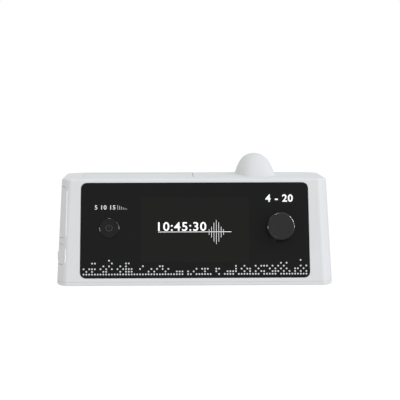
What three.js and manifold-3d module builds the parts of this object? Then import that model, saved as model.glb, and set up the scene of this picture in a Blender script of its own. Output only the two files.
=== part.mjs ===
import * as THREE from 'three';
import { mergeVertices } from 'three/addons/utils/BufferGeometryUtils.js';
import Module from 'manifold-3d';

const wasm = await Module();
wasm.setup();

// A bedside CPAP machine, in millimetres with +Z up. It stands on Z = 0 with its front facing -Y.
// Face values are measured in the plane of the leaning front: across, up the slope, and in from the surface.

// Clearances
const gap = 0.3;
const doorGap = 0.6;
const pinGap = 0.15;
const doorHingeGap = 1;
const lidHingeGap = 1.5;
const overrun = 30;

// Casing
const caseWidth = 276.8;
const sideTaper = 4.8;
const caseDepth = 146;
const caseTop = 106;
const caseLean = THREE.MathUtils.degToRad(12);
const rearDraft = THREE.MathUtils.degToRad(2);
const frontCornerWidth = 9;
const frontCornerDepth = 26;
const rearCornerRadius = 24;
const edgeRadius = 2.4;
const wall = 2.6;
const frontWall = 4;
const footHeight = 0.8;
const baseThickness = 4;
const frontSeamDepth = 14;
const coverThickness = 3.5;
const coverSeamHeight = caseTop - coverThickness;
const caseTopWidth = caseWidth - 2 * sideTaper;
const leftEdge = -caseWidth / 2;
const rightEdge = caseWidth / 2;
const frontEdge = -caseDepth / 2;
const rearEdge = caseDepth / 2;
const seamAtTop = frontEdge + caseTop * Math.tan(caseLean) + frontSeamDepth / Math.cos(caseLean);

// Base plate, feet and screws
const footRadius = 7;
const footSeat = 1.8;
const footSideInset = 28.4;
const footFrontInset = 21;
const footRearInset = 17;
const screwSideInset = 7.4;
const screwFrontInset = 53;
const screwRearInset = 25;
const screwShankRadius = 1.5;
const screwHeadRadius = 2.8;
const screwHeadHeight = 2;
const screwLength = 14;
const bossRadius = 4.6;
const bossHeight = 22;
const postRadius = 3;

// Front panel
const panelSideMargin = 19.35;
const panelTaper = 0.9;
const panelTopMargin = 4;
const panelThickness = 2;
const panelFoot = 9;
const panelRadius = 4;
const panelWidth = caseTopWidth - 2 * panelSideMargin;
const panelHead = caseTop / Math.cos(caseLean) - panelTopMargin;
const controlInset = 28.85;
const controlHeightShare = 0.526;
const controlX = panelWidth / 2 - controlInset;
const controlHeight = panelFoot + (panelHead - panelFoot) * controlHeightShare;

// Screen
const screenWidth = 108;
const screenHeight = 64.8;
const screenMiddleShare = 0.504;
const screenMiddle = panelFoot + (panelHead - panelFoot) * screenMiddleShare;
const screenWindowMargin = 1;
const moduleMargin = 6;
const moduleThickness = 3.4;

// Front circuit board
const boardThickness = 1.6;
const frontBoardMargin = 8;
const frontBoardIn = 9.5;
const frontPostMargin = 13;
const frontPostSlack = 3.6;
const frontBoardWidth = 2 * (controlX + frontBoardMargin);
const frontBoardHeight = screenHeight + 2 * (frontPostSlack + postRadius);
const frontPostX = screenWidth / 2 + frontPostMargin;
const frontPostUp = screenHeight / 2 + frontPostSlack;

// Knob, shaft, push collar and encoder
const knobRadius = 14;
const knobOut = 11;
const knobLift = 1.5;
const knobWall = 2;
const knobChamfer = 1.2;
const knobDish = 0.6;
const knobBossRadius = 5;
const shaftRadius = 3;
const collarRadius = 4.1;
const collarLength = 5;
const collarIn = 3.2;
const encoderSize = 13;
const encoderHeight = 4.6;
const panelShaftHole = 5.2;
const wallShaftHole = 8;

// Power button and its switch
const buttonRadius = 10;
const buttonProud = 0.5;
const buttonFlangeRadius = 11.4;
const buttonFlangeThickness = 1;
const buttonFlangeIn = 2.5;
const buttonStemRadius = 2.2;
const buttonTravel = 0.5;
const switchSize = 6.2;
const switchHeight = 2.4;
const plungerRadius = 1.7;
const plungerHeight = 0.5;

// Side doors: the filter door above, the card door below
const doorThickness = 2;
const doorFront = 2.5;
const doorRadius = 4;
const filterDoorFoot = 48;
const filterDoorHeadroom = 8;
const filterDoorDepth = 87;
const cardDoorFoot = 21.9;
const cardDoorHead = 41.4;
const cardDoorDepth = 53;
const doorBarrelRadius = 2;
const doorPinRadius = 1;
const doorPinEnd = 2.5;
const ledgeWidth = 3.5;
const ledgeThickness = 3.1;
const ridgeRadius = 1.1;
const ridgeLength = 9.5;
const ridgeHeight = 27.5;
const ridgeBack = 16;

// Filter and intake duct
const foamThickness = 3.4;
const ductWall = 1.6;
const ductInset = 12.6;
const ductSetback = 32;
const ductDepth = 19;
const ductRise = 14;
const ductLegWidth = 16;
const ductLegSetback = 22;
const plenumFoot = 46;
const plenumHeadroom = 10;
const crossInset = 17.8;
const crossWidth = 16;
const grilleBars = 5;
const grilleBarWidth = 2;
const ductLeft = leftEdge + ductInset;
const ductFront = frontEdge + ductSetback;
const ductRear = ductFront + ductDepth;
const ductLegFront = ductFront + ductLegSetback;
const ductLegRear = frontEdge + filterDoorDepth - doorBarrelRadius;
const plenumTop = caseTop - plenumHeadroom;
const crossLeft = ductLeft + crossInset;
const crossRight = crossLeft + crossWidth;

// Main board with the power inlet, and the vents behind it
const boardInset = 12.4;
const boardRearInset = 9;
const mainBoardWidth = 96;
const mainBoardDepthShare = 0.3;
const mainBoardFoot = 12;
const mainBoardRight = rightEdge - boardInset;
const mainBoardLeft = mainBoardRight - mainBoardWidth;
const mainBoardRear = rearEdge - boardRearInset;
const mainBoardFront = mainBoardRear - caseDepth * mainBoardDepthShare;
const jackInset = 26;
const jackX = mainBoardRight - jackInset;
const jackWidth = 14;
const jackLength = 14;
const jackHeight = 11;
const jackSnoutRadius = 4.2;
const jackBore = 3.2;
const jackPinRadius = 1;
const jackSnoutLength = 2.2;
const ventCount = 8;
const ventWidth = 2.4;
const ventHeight = 18;
const ventPitch = 6;
const ventInset = 10;
const ventFoot = 28;

// Blower, placed by the middle of its wheel
const blowerInset = 48.4;
const blowerSetback = 25;
const voluteShare = 0.51;
const voluteGrowth = 8;
const voluteWall = 2;
const voluteFloor = 2.5;
const voluteHeight = 22;
const voluteStub = 40;
const mountMargin = 3;
const mountWidth = 6;
const mountHeight = 4;
const intakeRadius = 9;
const intakeHeight = 12;
const impellerMargin = 3;
const impellerHeight = 8;
const impellerLift = 10;
const impellerPlate = 1.2;
const impellerHubRadius = 5;
const impellerAxleRadius = 1.5;
const bladeCount = 9;
const bladeThickness = 1;
const bladeSweep = THREE.MathUtils.degToRad(50);
const motorShare = 0.7;
const blowerX = rightEdge - blowerInset;
const blowerY = ductFront + blowerSetback;
const voluteOuter = (mainBoardFront - ductFront) * voluteShare;
const voluteInner = voluteOuter - voluteGrowth;
const mountRadius = voluteInner + mountMargin;
const impellerRadius = voluteInner - impellerMargin;
const motorRadius = impellerRadius * motorShare;

// Muffler over the blower
const mufflerInset = 33;
const mufflerDepth = 53;
const mufflerFoot = 50;
const mufflerHeadroom = 9;
const mufflerRight = rightEdge - boardInset;
const mufflerRear = ductFront + mufflerDepth;
const mufflerHead = caseTop - mufflerHeadroom;
const mufflerEntryInset = 4;

// Lid over the water tank
const lidInset = 25.4;
const lidRight = -0.7;
const lidFrontMargin = 3.2;
const lidRearInset = 19;
const lidRadius = 18;
const lidBarrelRadius = 2.6;
const lidPinRadius = 1.2;
const lidLugWidth = 5;
const lidLugReach = 4;
const lidLugDrop = 5;
const lidLeft = leftEdge + lidInset;
const lidFront = seamAtTop + lidFrontMargin;
const lidHinge = rearEdge - lidRearInset;

// Tank bay, water tank and heater
const tankSideInset = 6;
const tankFrontInset = 5;
const tankRadius = 16;
const tankWall = 2;
const tankRim = 69;
const tankHeadroom = 7.5;
const tankSealHeight = 1.6;
const bayClearance = 1;
const bayWall = 1.8;
const bayFloor = 22;
const bayFlange = 5;
const bayFlangeThickness = 1.5;
const heaterInset = 7;
const heaterThickness = 2.8;
const heaterLift = 2.9;
const heaterRingWidth = 5;
const heaterLegs = 3;
const tankDiscMargin = 2;
const tankDiscThickness = 0.9;
const tankDiscLip = 3;
const tankLeft = lidLeft + tankSideInset;
const tankRight = lidRight - tankSideInset;
const tankFront = lidFront + tankFrontInset;
const tankRear = lidHinge - tankSideInset;
const tankHead = caseTop - tankHeadroom;
const mufflerLeft = tankRight + mufflerInset;
const ductRight = mufflerLeft + mufflerEntryInset + ductLegWidth;
const heaterRadius = (tankRear - tankFront) / 2 - heaterInset;
const tankDiscRadius = heaterRadius + tankDiscMargin;

// Air path from the blower through the tank to the outlet
const pipeShare = 0.113;
const pipeWall = 1.5;
const columnInset = 21.6;
const portInShare = 0.4;
const portOutShare = 0.74;
const portDrop = 21;
const domeMargin = 3.4;
const domeDrop = 34;
const pipeRadius = (tankRear - tankFront) * pipeShare;
const portHeight = caseTop - portDrop;
const portInY = tankFront + (tankRear - tankFront) * portInShare;
const portOutY = tankFront + (tankRear - tankFront) * portOutShare;
const domeRadius = pipeRadius + domeMargin;
const domeFoot = caseTop - domeDrop;

// Cowl and tapered hose outlet
const outletInset = 72.5;
const outletRise = 2.5;
const cowlHalfWidth = 20.1;
const cowlRise = 20.7;
const cowlTuckShare = 0.28;
const cowlWall = 2.5;
const cowlNose = 85;
const cowlHollowSetback = 5;
const cowlRearInset = 4.4;
const bulkheadInset = 25.6;
const bulkheadThickness = 3;
const cupRadius = 17.5;
const cupBore = 15.5;
const taperBase = 11.2;
const taperTip = 10.9;
const taperLength = 20;
const outletBore = 8.8;
const outletFlangeRadius = 14;
const outletFlangeThickness = 2;
const spigotRadius = 9.8;
const outletX = rightEdge - outletInset;
const outletHeight = caseTop + outletRise;
const cowlTip = seamAtTop + doorGap;
const cowlRear = rearEdge - cowlRearInset;
const bulkheadFront = cowlRear - bulkheadInset;

// Card board, socket and memory card
const cardBoardInset = 11.4;
const cardBoardWidth = 33;
const cardBoardSetback = 15;
const cardBoardDepth = 26.5;
const cardBoardFoot = 26;
const cardWidth = 24;
const cardLength = 32;
const cardThickness = 2.1;
const cardSetback = 28;
const cardInset = 9.4;
const socketLength = 28;
const socketWall = 1.4;
const cardTravel = 1;
const cardBoardLeft = leftEdge + cardBoardInset;
const cardBoardRight = cardBoardLeft + cardBoardWidth;
const cardBoardFront = frontEdge + cardBoardSetback;
const cardBoardRear = cardBoardFront + cardBoardDepth;
const cardMiddle = frontEdge + cardSetback;
const cardEdge = leftEdge + cardInset;

// Facets round a full circle
const fineSides = 36;
const sides = 20;
const coarseSides = 10;
const cornerSteps = 3;
const caseSteps = 4;
const lidSteps = 8;
const noseSteps = 10;
const voluteSteps = 30;
const bladeSteps = 5;
const ductSteps = 16;

const quarterTurn = Math.PI / 2;
const fullTurn = Math.PI * 2;
const baseTop = footHeight + baseThickness;
const sideSlope = sideTaper / caseTop;
const sideDraft = Math.atan(sideSlope);
const coverUnderside = caseTop - wall;

// Finishes
const whiteCase = finish(0xe1e3e8, 0.42);
const blackAcrylic = finish(0x232422, 0.12);
const blackPlastic = finish(0x1d1d1e, 0.35);
const darkKnob = finish(0x3a3a3b, 0.3);
const greyRubber = finish(0x5a5c5f, 0.8);
const greyPlastic = finish(0x8f9499, 0.5);
const paleFoam = finish(0xdfe4e8, 0.95);
const darkFoam = finish(0x3c3f43, 0.95);
const clearPlastic = finish(0xcfdde6, 0.1);
const steel = finish(0xb8bbbf, 0.3, 1);
const aluminium = finish(0xc9ccd0, 0.35, 1);
const greenBoard = finish(0x1f5a3a, 0.5);

function finish(color, roughness, metalness = 0) {
  return new THREE.MeshStandardMaterial({ color, roughness, metalness });
}

// Turns a closed geometry into a solid that can be cut and joined.
function solidOf(geometry) {
  const bare = geometry.clone();
  bare.deleteAttribute('normal');
  bare.deleteAttribute('uv');
  const welded = mergeVertices(bare);
  const corners = [];
  for (let i = 0; i < welded.index.count; i += 3) {
    const [a, b, c] = [0, 1, 2].map((k) => welded.index.getX(i + k));
    if (a !== b && b !== c && c !== a) corners.push(a, b, c);
  }
  const vertProperties = welded.attributes.position.array;
  const triVerts = Uint32Array.from(corners);
  return new wasm.Manifold(new wasm.Mesh({ numProp: 3, vertProperties, triVerts }));
}

function asSolid(shape) {
  return shape.isBufferGeometry ? solidOf(shape) : shape;
}

function join(first, ...others) {
  return others.reduce((whole, other) => whole.add(asSolid(other)), asSolid(first));
}

function cut(first, ...others) {
  return others.reduce((whole, other) => whole.subtract(asSolid(other)), asSolid(first));
}

function common(first, ...others) {
  return others.reduce((whole, other) => whole.intersect(asSolid(other)), asSolid(first));
}

// A named mesh from a geometry or a solid.
function piece(name, shape, material) {
  const { vertProperties, triVerts } = asSolid(shape).asOriginal().getMesh();
  const geometry = new THREE.BufferGeometry();
  geometry.setAttribute('position', new THREE.BufferAttribute(vertProperties, 3));
  geometry.setIndex(new THREE.BufferAttribute(triVerts, 1));
  geometry.computeVertexNormals();
  const mesh = new THREE.Mesh(geometry, material);
  mesh.name = name;
  return mesh;
}

function placed(object, x, y, z) {
  object.position.set(x, y, z);
  return object;
}

function grouped(...objects) {
  const group = new THREE.Group();
  group.add(...objects);
  return group;
}

// A box between two corners.
function block([x0, y0, z0], [x1, y1, z1]) {
  const box = new THREE.BoxGeometry(x1 - x0, y1 - y0, z1 - z0);
  return box.translate((x0 + x1) / 2, (y0 + y1) / 2, (z0 + z1) / 2);
}

// Rods start at the origin and run along one axis.
function rodUp(radius, length, facets = sides) {
  const rod = new THREE.CylinderGeometry(radius, radius, length, facets);
  return rod.rotateX(quarterTurn).translate(0, 0, length / 2);
}

function rodAcross(radius, length, facets = sides) {
  return rodUp(radius, length, facets).rotateY(quarterTurn);
}

function rodIn(radius, length, facets = sides) {
  return rodUp(radius, length, facets).rotateX(-quarterTurn);
}

// Upright rods of one size, one at each place in plan.
function rodsAt(places, radius, length, foot, facets = coarseSides) {
  return places.map(([x, y]) => rodUp(radius, length, facets).translate(x, y, foot));
}

// Turns a profile of [radius, height] points round Z. The profile closes on itself or meets the axis.
function turned(profile, facets = sides) {
  const points = profile.map(([radius, height]) => new THREE.Vector2(radius, height));
  return new THREE.LatheGeometry(points, facets).rotateX(quarterTurn);
}

// A ring of rectangular section round Z.
function ring(inner, outer, low, high, facets = sides) {
  return turned([[inner, low], [outer, low], [outer, high], [inner, high], [inner, low]], facets);
}

// A closed outline through corners, each rounded by its radius.
function roundedOutline(corners) {
  const shape = new THREE.Shape();
  corners.forEach(([x, y, radius], i) => {
    const here = new THREE.Vector2(x, y);
    const [before, after] = [corners.at(i - 1), corners[(i + 1) % corners.length]]
      .map(([u, v]) => new THREE.Vector2(u, v).sub(here).setLength(radius).add(here));
    if (i === 0) shape.moveTo(before.x, before.y);
    else shape.lineTo(before.x, before.y);
    shape.quadraticCurveTo(x, y, after.x, after.y);
  });
  shape.closePath();
  return shape;
}

function roundedRectangle(left, low, right, high, radius) {
  const corners = [[left, low], [right, low], [right, high], [left, high]];
  return roundedOutline(corners.map(([x, y]) => [x, y, radius]));
}

// An outline in plan, raised between two heights.
function raised(outline, low, high, curveSegments = cornerSteps) {
  const options = { depth: high - low, bevelEnabled: false, curveSegments };
  return new THREE.ExtrudeGeometry(outline, options).translate(0, 0, low);
}

// An outline on the front, drawn across and up, with its depth running inwards.
function facePlate(outline, from, to) {
  return raised(outline, -to, -from).rotateX(quarterTurn);
}

// An outline on the side, drawn in Y and Z, with its depth along X.
function sidePlate(outline, from, to) {
  const turn = new THREE.Matrix4().makeBasis(
    new THREE.Vector3(0, 1, 0),
    new THREE.Vector3(0, 0, 1),
    new THREE.Vector3(1, 0, 0),
  );
  return raised(outline, from, to).applyMatrix4(turn);
}

// Moves a shape from the front's own plane to its leaning place on the casing.
function onFace(geometry) {
  return geometry.rotateX(-caseLean).translate(0, -caseDepth / 2, 0);
}

// Outline of the panel, which narrows a little towards its head, grown by a clearance.
function panelOutline(grow) {
  const half = panelWidth / 2 + grow;
  return roundedOutline([
    [-half, panelFoot - grow, panelRadius],
    [half, panelFoot - grow, panelRadius],
    [half - panelTaper, panelHead + grow, panelRadius],
    [panelTaper - half, panelHead + grow, panelRadius],
  ]);
}

function circle(radius, x = 0, y = 0) {
  return new THREE.Shape().absarc(x, y, radius, 0, fullTurn);
}

// Plan of the casing at its foot: elliptical front corners, round rear ones.
function caseOutline(sideInset, frontInset) {
  const half = caseWidth / 2 - sideInset;
  const front = -caseDepth / 2 + frontInset;
  const rear = caseDepth / 2 - sideInset;
  const across = frontCornerWidth - sideInset;
  const inwards = frontCornerDepth - frontInset;
  const round = rearCornerRadius - sideInset;
  const shape = new THREE.Shape();
  shape.moveTo(-half + across, front);
  shape.lineTo(half - across, front);
  shape.absellipse(half - across, front + inwards, across, inwards, -quarterTurn, 0);
  shape.lineTo(half, rear - round);
  shape.absarc(half - round, rear - round, round, 0, quarterTurn);
  shape.lineTo(-half + round, rear);
  shape.absarc(-half + round, rear - round, round, quarterTurn, 2 * quarterTurn);
  shape.lineTo(-half, front + inwards);
  shape.absellipse(-half + across, front + inwards, across, inwards, 2 * quarterTurn, 3 * quarterTurn);
  return shape;
}

// The casing's form, inset by a wall: the front leans back and the sides and rear draw in towards the top.
function caseForm(sideInset, frontInset, low, high, edge = 0) {
  const options = {
    depth: high - low - 2 * edge,
    bevelEnabled: edge > 0,
    bevelThickness: edge,
    bevelSize: edge,
    bevelOffset: -edge,
    bevelSegments: cornerSteps,
    curveSegments: caseSteps,
  };
  const outline = caseOutline(sideInset, frontInset);
  const form = new THREE.ExtrudeGeometry(outline, options).translate(0, 0, low + edge);
  const corners = form.attributes.position;
  const narrowing = Math.tan(caseLean) + Math.tan(rearDraft);
  for (let i = 0; i < corners.count; i += 1) {
    const z = corners.getZ(i);
    const depthShare = 1 - z * narrowing / caseDepth;
    const rearAtHeight = caseDepth / 2 - z * Math.tan(rearDraft);
    corners.setX(i, corners.getX(i) * (1 - 2 * z * sideSlope / caseWidth));
    corners.setY(i, rearAtHeight - (caseDepth / 2 - corners.getY(i)) * depthShare);
  }
  return form;
}

function halfWidthAt(height) {
  return caseWidth / 2 - height * sideSlope;
}

function frontAt(height) {
  return -caseDepth / 2 + height * Math.tan(caseLean);
}

// Side door in the Y-Z plane: its front edge follows the leaning front, its rear edge is upright.
function doorOutline(door, grow) {
  const foot = door.foot - grow;
  const head = door.head + grow;
  const front = (height) => frontAt(height) + doorFront - grow;
  const rear = door.rear + grow;
  const radius = doorRadius + Math.min(grow, doorRadius / 2);
  return roundedOutline([
    [front(foot), foot, radius],
    [rear, foot, gap],
    [rear, head, gap],
    [front(head), head, radius],
  ]);
}

function doorPrism(door, grow) {
  return sidePlate(doorOutline(door, grow), leftEdge - overrun, leftEdge + overrun);
}

// A rod on a side door's hinge line, which follows the draft of the side.
function hingeRod(door, radius, low, high, facets = coarseSides) {
  const across = -halfWidthAt(low) + doorBarrelRadius / Math.cos(sideDraft);
  const rod = rodUp(radius, (high - low) / Math.cos(sideDraft), facets);
  return rod.rotateY(sideDraft).translate(across, door.rear, low);
}

const filterDoor = {
  foot: filterDoorFoot,
  head: caseTop - filterDoorHeadroom,
  rear: frontEdge + filterDoorDepth,
};
const cardDoor = { foot: cardDoorFoot, head: cardDoorHead, rear: frontEdge + cardDoorDepth };
const doors = [filterDoor, cardDoor];

// Room that a side door and its barrel need in the casing.
function doorRecess(door) {
  const core = caseForm(doorThickness + gap, doorThickness + gap, -overrun, coverUnderside);
  const room = cut(doorPrism(door, doorGap), core);
  const barrel = doorBarrelRadius + doorHingeGap;
  const slot = hingeRod(door, barrel, door.foot - doorGap, door.head + doorGap);
  const pin = hingeRod(door, doorPinRadius + pinGap, door.foot - doorPinEnd, door.head + doorPinEnd);
  return join(room, slot, pin);
}

// Material behind a side door: a rim that carries the door and its hinge, open in the middle.
function doorLedge(door) {
  const outer = caseForm(wall / 2, wall / 2, baseTop, coverUnderside);
  const inner = caseForm(wall + ledgeThickness, wall + ledgeThickness, baseTop, coverUnderside);
  return common(cut(outer, inner), doorPrism(door, ledgeWidth));
}

function screwPlaces() {
  return [leftEdge + screwSideInset, rightEdge - screwSideInset]
    .flatMap((x) => [frontEdge + screwFrontInset, rearEdge - screwRearInset].map((y) => [x, y]));
}

// The whole casing before it is parted into its shells.
function casing() {
  const outer = caseForm(0, 0, footHeight, caseTop, edgeRadius);
  const hollow = caseForm(wall, frontWall, baseTop, coverUnderside);
  const bosses = rodsAt(screwPlaces(), bossRadius, bossHeight, baseTop);
  const postLength = frontBoardIn - gap - frontWall / 2;
  const post = rodIn(postRadius, postLength, coarseSides).translate(0, frontWall / 2, screenMiddle);
  const posts = [-1, 1].flatMap((side) => [-1, 1].map((row) => onFace(
    post.clone().translate(side * frontPostX, 0, row * frontPostUp),
  )));
  const shell = join(cut(outer, hollow), ...bosses, ...posts, ...doors.map(doorLedge));
  const trimmed = common(shell, outer);
  const openings = doors.map((door) => doorPrism(door, -ledgeWidth));
  return cut(trimmed, ...doors.map(doorRecess), ...openings, ...faceCuts(), ...rearCuts());
}

// A hole through the front at the knob's or the button's side.
function controlHole(radius, side) {
  return rodIn(radius, frontSeamDepth, fineSides)
    .translate(side * controlX, -frontSeamDepth / 2, controlHeight);
}

// Panel recess and the holes behind it.
function faceCuts() {
  const half = screenWidth / 2 + screenWindowMargin;
  const rise = screenHeight / 2 + screenWindowMargin;
  const window = roundedRectangle(-half, screenMiddle - rise, half, screenMiddle + rise, gap);
  return [
    onFace(facePlate(panelOutline(gap), -overrun, panelThickness + gap)),
    onFace(facePlate(window, 0, frontSeamDepth / 2)),
    onFace(controlHole(wallShaftHole, 1)),
    onFace(controlHole(buttonFlangeRadius + doorGap, -1)),
  ];
}

// Notch for the outlet's cup, the power inlet's hole and the vents.
function rearCuts() {
  const cup = rodIn(cupRadius + gap, overrun).translate(outletX, bulkheadFront, outletHeight);
  const jackMiddle = mainBoardFoot + boardThickness + gap + jackHeight / 2;
  const jack = rodIn(jackSnoutRadius + gap, overrun).translate(jackX, rearEdge - overrun / 2, jackMiddle);
  const vents = Array.from({ length: ventCount }, (_, i) => {
    const x = mainBoardLeft + ventInset + i * ventPitch;
    const slot = roundedRectangle(x, ventFoot, x + ventWidth, ventFoot + ventHeight, ventWidth / 2);
    return facePlate(slot, caseDepth / 2 - overrun / 2, caseDepth / 2 + overrun);
  });
  return [cup, jack, ...vents];
}

// Space ahead of or behind the seam between the front and the rear housing.
function aheadOfSeam(setback) {
  const seam = frontSeamDepth * Math.cos(caseLean);
  return onFace(block([-caseWidth, -caseDepth, -caseTop], [caseWidth, seam - setback, 2 * caseTop]));
}

function layer(low, high) {
  return block([-caseWidth, -caseDepth, low], [caseWidth, caseDepth, high]);
}

function outletCup() {
  const cup = rodIn(cupRadius, cowlRear - bulkheadFront);
  return cup.translate(outletX, bulkheadFront, outletHeight);
}

// Form of the cowl, which rises smoothly from its tip to its full section and runs straight to the rear.
// A turned rod of unit radius has its points moved out to each section's half width and rise.
function cowlForm(tip, halfWidth, rise) {
  const steps = Array.from({ length: noseSteps + 1 }, (_, i) => i / noseSteps);
  const nose = steps.map((share) => new THREE.Vector2(1, tip + cowlNose * share));
  const profile = [...nose, new THREE.Vector2(1, cowlRear), new THREE.Vector2(0, cowlRear)];
  const body = new THREE.LatheGeometry(profile, fineSides);
  const corners = body.attributes.position;
  for (let i = 0; i < corners.count; i += 1) {
    const share = THREE.MathUtils.clamp((corners.getY(i) - tip) / cowlNose, 0, 1);
    const height = Math.abs(corners.getZ(i));
    const tuck = 1 - cowlTuckShare * height * (1 - height);
    const widening = Math.sqrt(share * (2 - share));
    const rising = THREE.MathUtils.smoothstep(share, 0, 1);
    corners.setX(i, corners.getX(i) * tuck * halfWidth * widening);
    corners.setZ(i, corners.getZ(i) * rise * rising);
  }
  return body.translate(outletX, 0, caseTop);
}

function cowl() {
  return common(cowlForm(cowlTip, cowlHalfWidth, cowlRise), layer(coverUnderside, 2 * caseTop));
}

// Room inside the cowl for the outlet duct.
function cowlHollow() {
  const form = cowlForm(cowlTip + cowlHollowSetback, cowlHalfWidth - cowlWall, cowlRise - cowlWall);
  const front = portOutY - domeRadius - bayClearance;
  return common(form, block([leftEdge, front, 0], [rightEdge, bulkheadFront, 2 * caseTop]));
}

// Lid in plan. Its rear edge stops at the hinge line.
function lidOutline(grow) {
  const round = lidRadius + grow;
  return roundedOutline([
    [lidLeft - grow, lidFront - grow, round],
    [lidRight + grow, lidFront - grow, round],
    [lidRight + grow, lidHinge, gap],
    [lidLeft - grow, lidHinge, gap],
  ]);
}

function lidRod(radius, from, to, facets = coarseSides) {
  return rodAcross(radius, to - from, facets).translate(from, lidHinge, caseTop - lidBarrelRadius);
}

function topCover(shell) {
  const skin = cut(common(shell, layer(coverSeamHeight, 2 * caseTop)), aheadOfSeam(-gap));
  const lugs = [lidLeft - doorGap - lidLugWidth, lidRight + doorGap].map((left) => block(
    [left, lidHinge - lidLugReach, coverUnderside - lidLugDrop],
    [left + lidLugWidth, lidHinge + lidLugReach, caseTop - wall / 2],
  ));
  const cupFloor = bulkheadFront + bulkheadThickness;
  const cupHollow = rodIn(cupBore, overrun).translate(outletX, cupFloor, outletHeight);
  const spigotHole = rodIn(spigotRadius + gap, overrun).translate(outletX, bulkheadFront - gap, outletHeight);
  const lidRoom = raised(lidOutline(doorGap), coverSeamHeight - overrun, caseTop + overrun, lidSteps);
  const barrelRoom = lidRod(lidBarrelRadius + lidHingeGap, lidLeft - doorGap, lidRight + doorGap);
  const pinRoom = lidRod(lidPinRadius + pinGap, lidLeft - lidLugWidth, lidRight + lidLugWidth);
  const whole = join(cut(join(skin, cowl()), cowlHollow()), outletCup(), ...lugs);
  return piece('top_cover', cut(whole, cupHollow, spigotHole, lidRoom, barrelRoom, pinRoom), whiteCase);
}

function tankLid() {
  const plate = raised(lidOutline(0), coverUnderside, caseTop, lidSteps);
  const barrel = lidRod(lidBarrelRadius, lidLeft, lidRight);
  const bore = lidRod(lidPinRadius + pinGap, lidLeft - overrun, lidRight + overrun);
  return piece('tank_lid', cut(join(plate, barrel), bore), whiteCase);
}

function lidPin() {
  const beyond = lidLugWidth - pinGap;
  return piece('lid_pin', lidRod(lidPinRadius, lidLeft - beyond, lidRight + beyond), steel);
}

function frontHousing(shell) {
  const body = common(shell, layer(baseTop + gap, 2 * caseTop), aheadOfSeam(0));
  return piece('front_housing', body, whiteCase);
}

function rearHousing(shell) {
  const body = cut(common(shell, layer(baseTop + gap, coverSeamHeight - gap)), aheadOfSeam(-gap));
  const pilots = rodsAt(screwPlaces(), screwShankRadius + pinGap, screwLength, 0);
  return piece('rear_housing', cut(body, ...pilots), whiteCase);
}

function footPlaces() {
  return [leftEdge + footSideInset, rightEdge - footSideInset]
    .flatMap((x) => [frontEdge + footFrontInset, rearEdge - footRearInset].map((y) => [x, y]));
}

// Base plate with seats for the feet, countersunk screw holes and the posts of the two small boards.
function basePlate(shell) {
  const seats = rodsAt(footPlaces(), footRadius + gap, footHeight + footSeat, 0, sides);
  const heads = rodsAt(screwPlaces(), screwHeadRadius + gap, footHeight + screwHeadHeight, 0);
  const shanks = rodsAt(screwPlaces(), screwShankRadius + gap, screwLength, 0);
  const cardPostRear = ductFront + postRadius - gap;
  const posts = [
    ...boardPosts(mainBoardLeft, mainBoardRight, mainBoardFront, mainBoardRear, mainBoardFoot),
    ...boardPosts(cardBoardLeft, cardBoardRight, cardBoardFront, cardPostRear, cardBoardFoot),
  ];
  const plate = join(common(shell, layer(footHeight, baseTop)), ...posts);
  return piece('base_plate', cut(plate, ...seats, ...heads, ...shanks), whiteCase);
}

// Posts inside a board's corners, from the base plate to just under the board.
function boardPosts(left, right, front, rear, foot) {
  const inset = 2 * postRadius;
  const root = baseTop - baseThickness / 2;
  const across = [left + inset, right - inset];
  const places = across.flatMap((x) => [front + inset, rear - inset].map((y) => [x, y]));
  return rodsAt(places, postRadius, foot - gap - root, root);
}

function feet() {
  const top = footHeight + footSeat - gap;
  const foot = turned([[0, 0], [footRadius - gap, 0], [footRadius, gap], [footRadius, top], [0, top]]);
  return footPlaces().map(([x, y], i) => placed(piece(`foot_${i + 1}`, foot, greyRubber), x, y, 0));
}

// Pan-head screws with a cross slot, up through the base plate into the bosses.
function screws() {
  const slot = screwShankRadius / 2;
  const reach = screwHeadRadius * 2 / 3;
  const head = rodUp(screwHeadRadius, screwHeadHeight - gap, coarseSides);
  const shank = rodUp(screwShankRadius, screwLength - footHeight - gap, coarseSides);
  const bars = [[reach, slot / 2], [slot / 2, reach]].map(([x, y]) => block([-x, -y, -slot], [x, y, slot]));
  const screw = cut(join(head, shank), ...bars);
  const named = (i) => piece(`base_screw_${i + 1}`, screw, steel);
  return screwPlaces().map(([x, y], i) => placed(named(i), x, y, footHeight));
}

function frontPanel() {
  const sheet = raised(panelOutline(0), -panelThickness, 0, 2 * cornerSteps).rotateX(quarterTurn);
  const holes = [controlHole(panelShaftHole, 1), controlHole(buttonRadius + gap, -1)];
  return piece('front_panel', cut(sheet, ...holes), blackAcrylic);
}

// Liquid-crystal module: its frame, and the picture area sunk a little into it.
function displayModule() {
  const [width, height] = [screenWidth / 2, screenHeight / 2];
  const half = width + moduleMargin;
  const rise = height + moduleMargin;
  const inwards = frontWall + gap;
  const frame = block([-half, inwards, -rise], [half, inwards + moduleThickness, rise]);
  const picture = block([-width, 0, -height], [width, inwards + gap, height]);
  return placed(piece('display_module', cut(frame, picture), blackPlastic), 0, 0, screenMiddle);
}

function frontBoard() {
  const half = frontBoardWidth / 2;
  const rise = frontBoardHeight / 2;
  const outline = roundedRectangle(-half, -rise, half, rise, postRadius);
  [-1, 1].forEach((side) => [-1, 1].forEach((row) => outline.holes.push(
    circle(screwShankRadius, side * frontPostX, row * frontPostUp))));
  const board = facePlate(outline, frontBoardIn, frontBoardIn + boardThickness);
  return placed(piece('front_board', board, greenBoard), 0, 0, screenMiddle);
}

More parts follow.
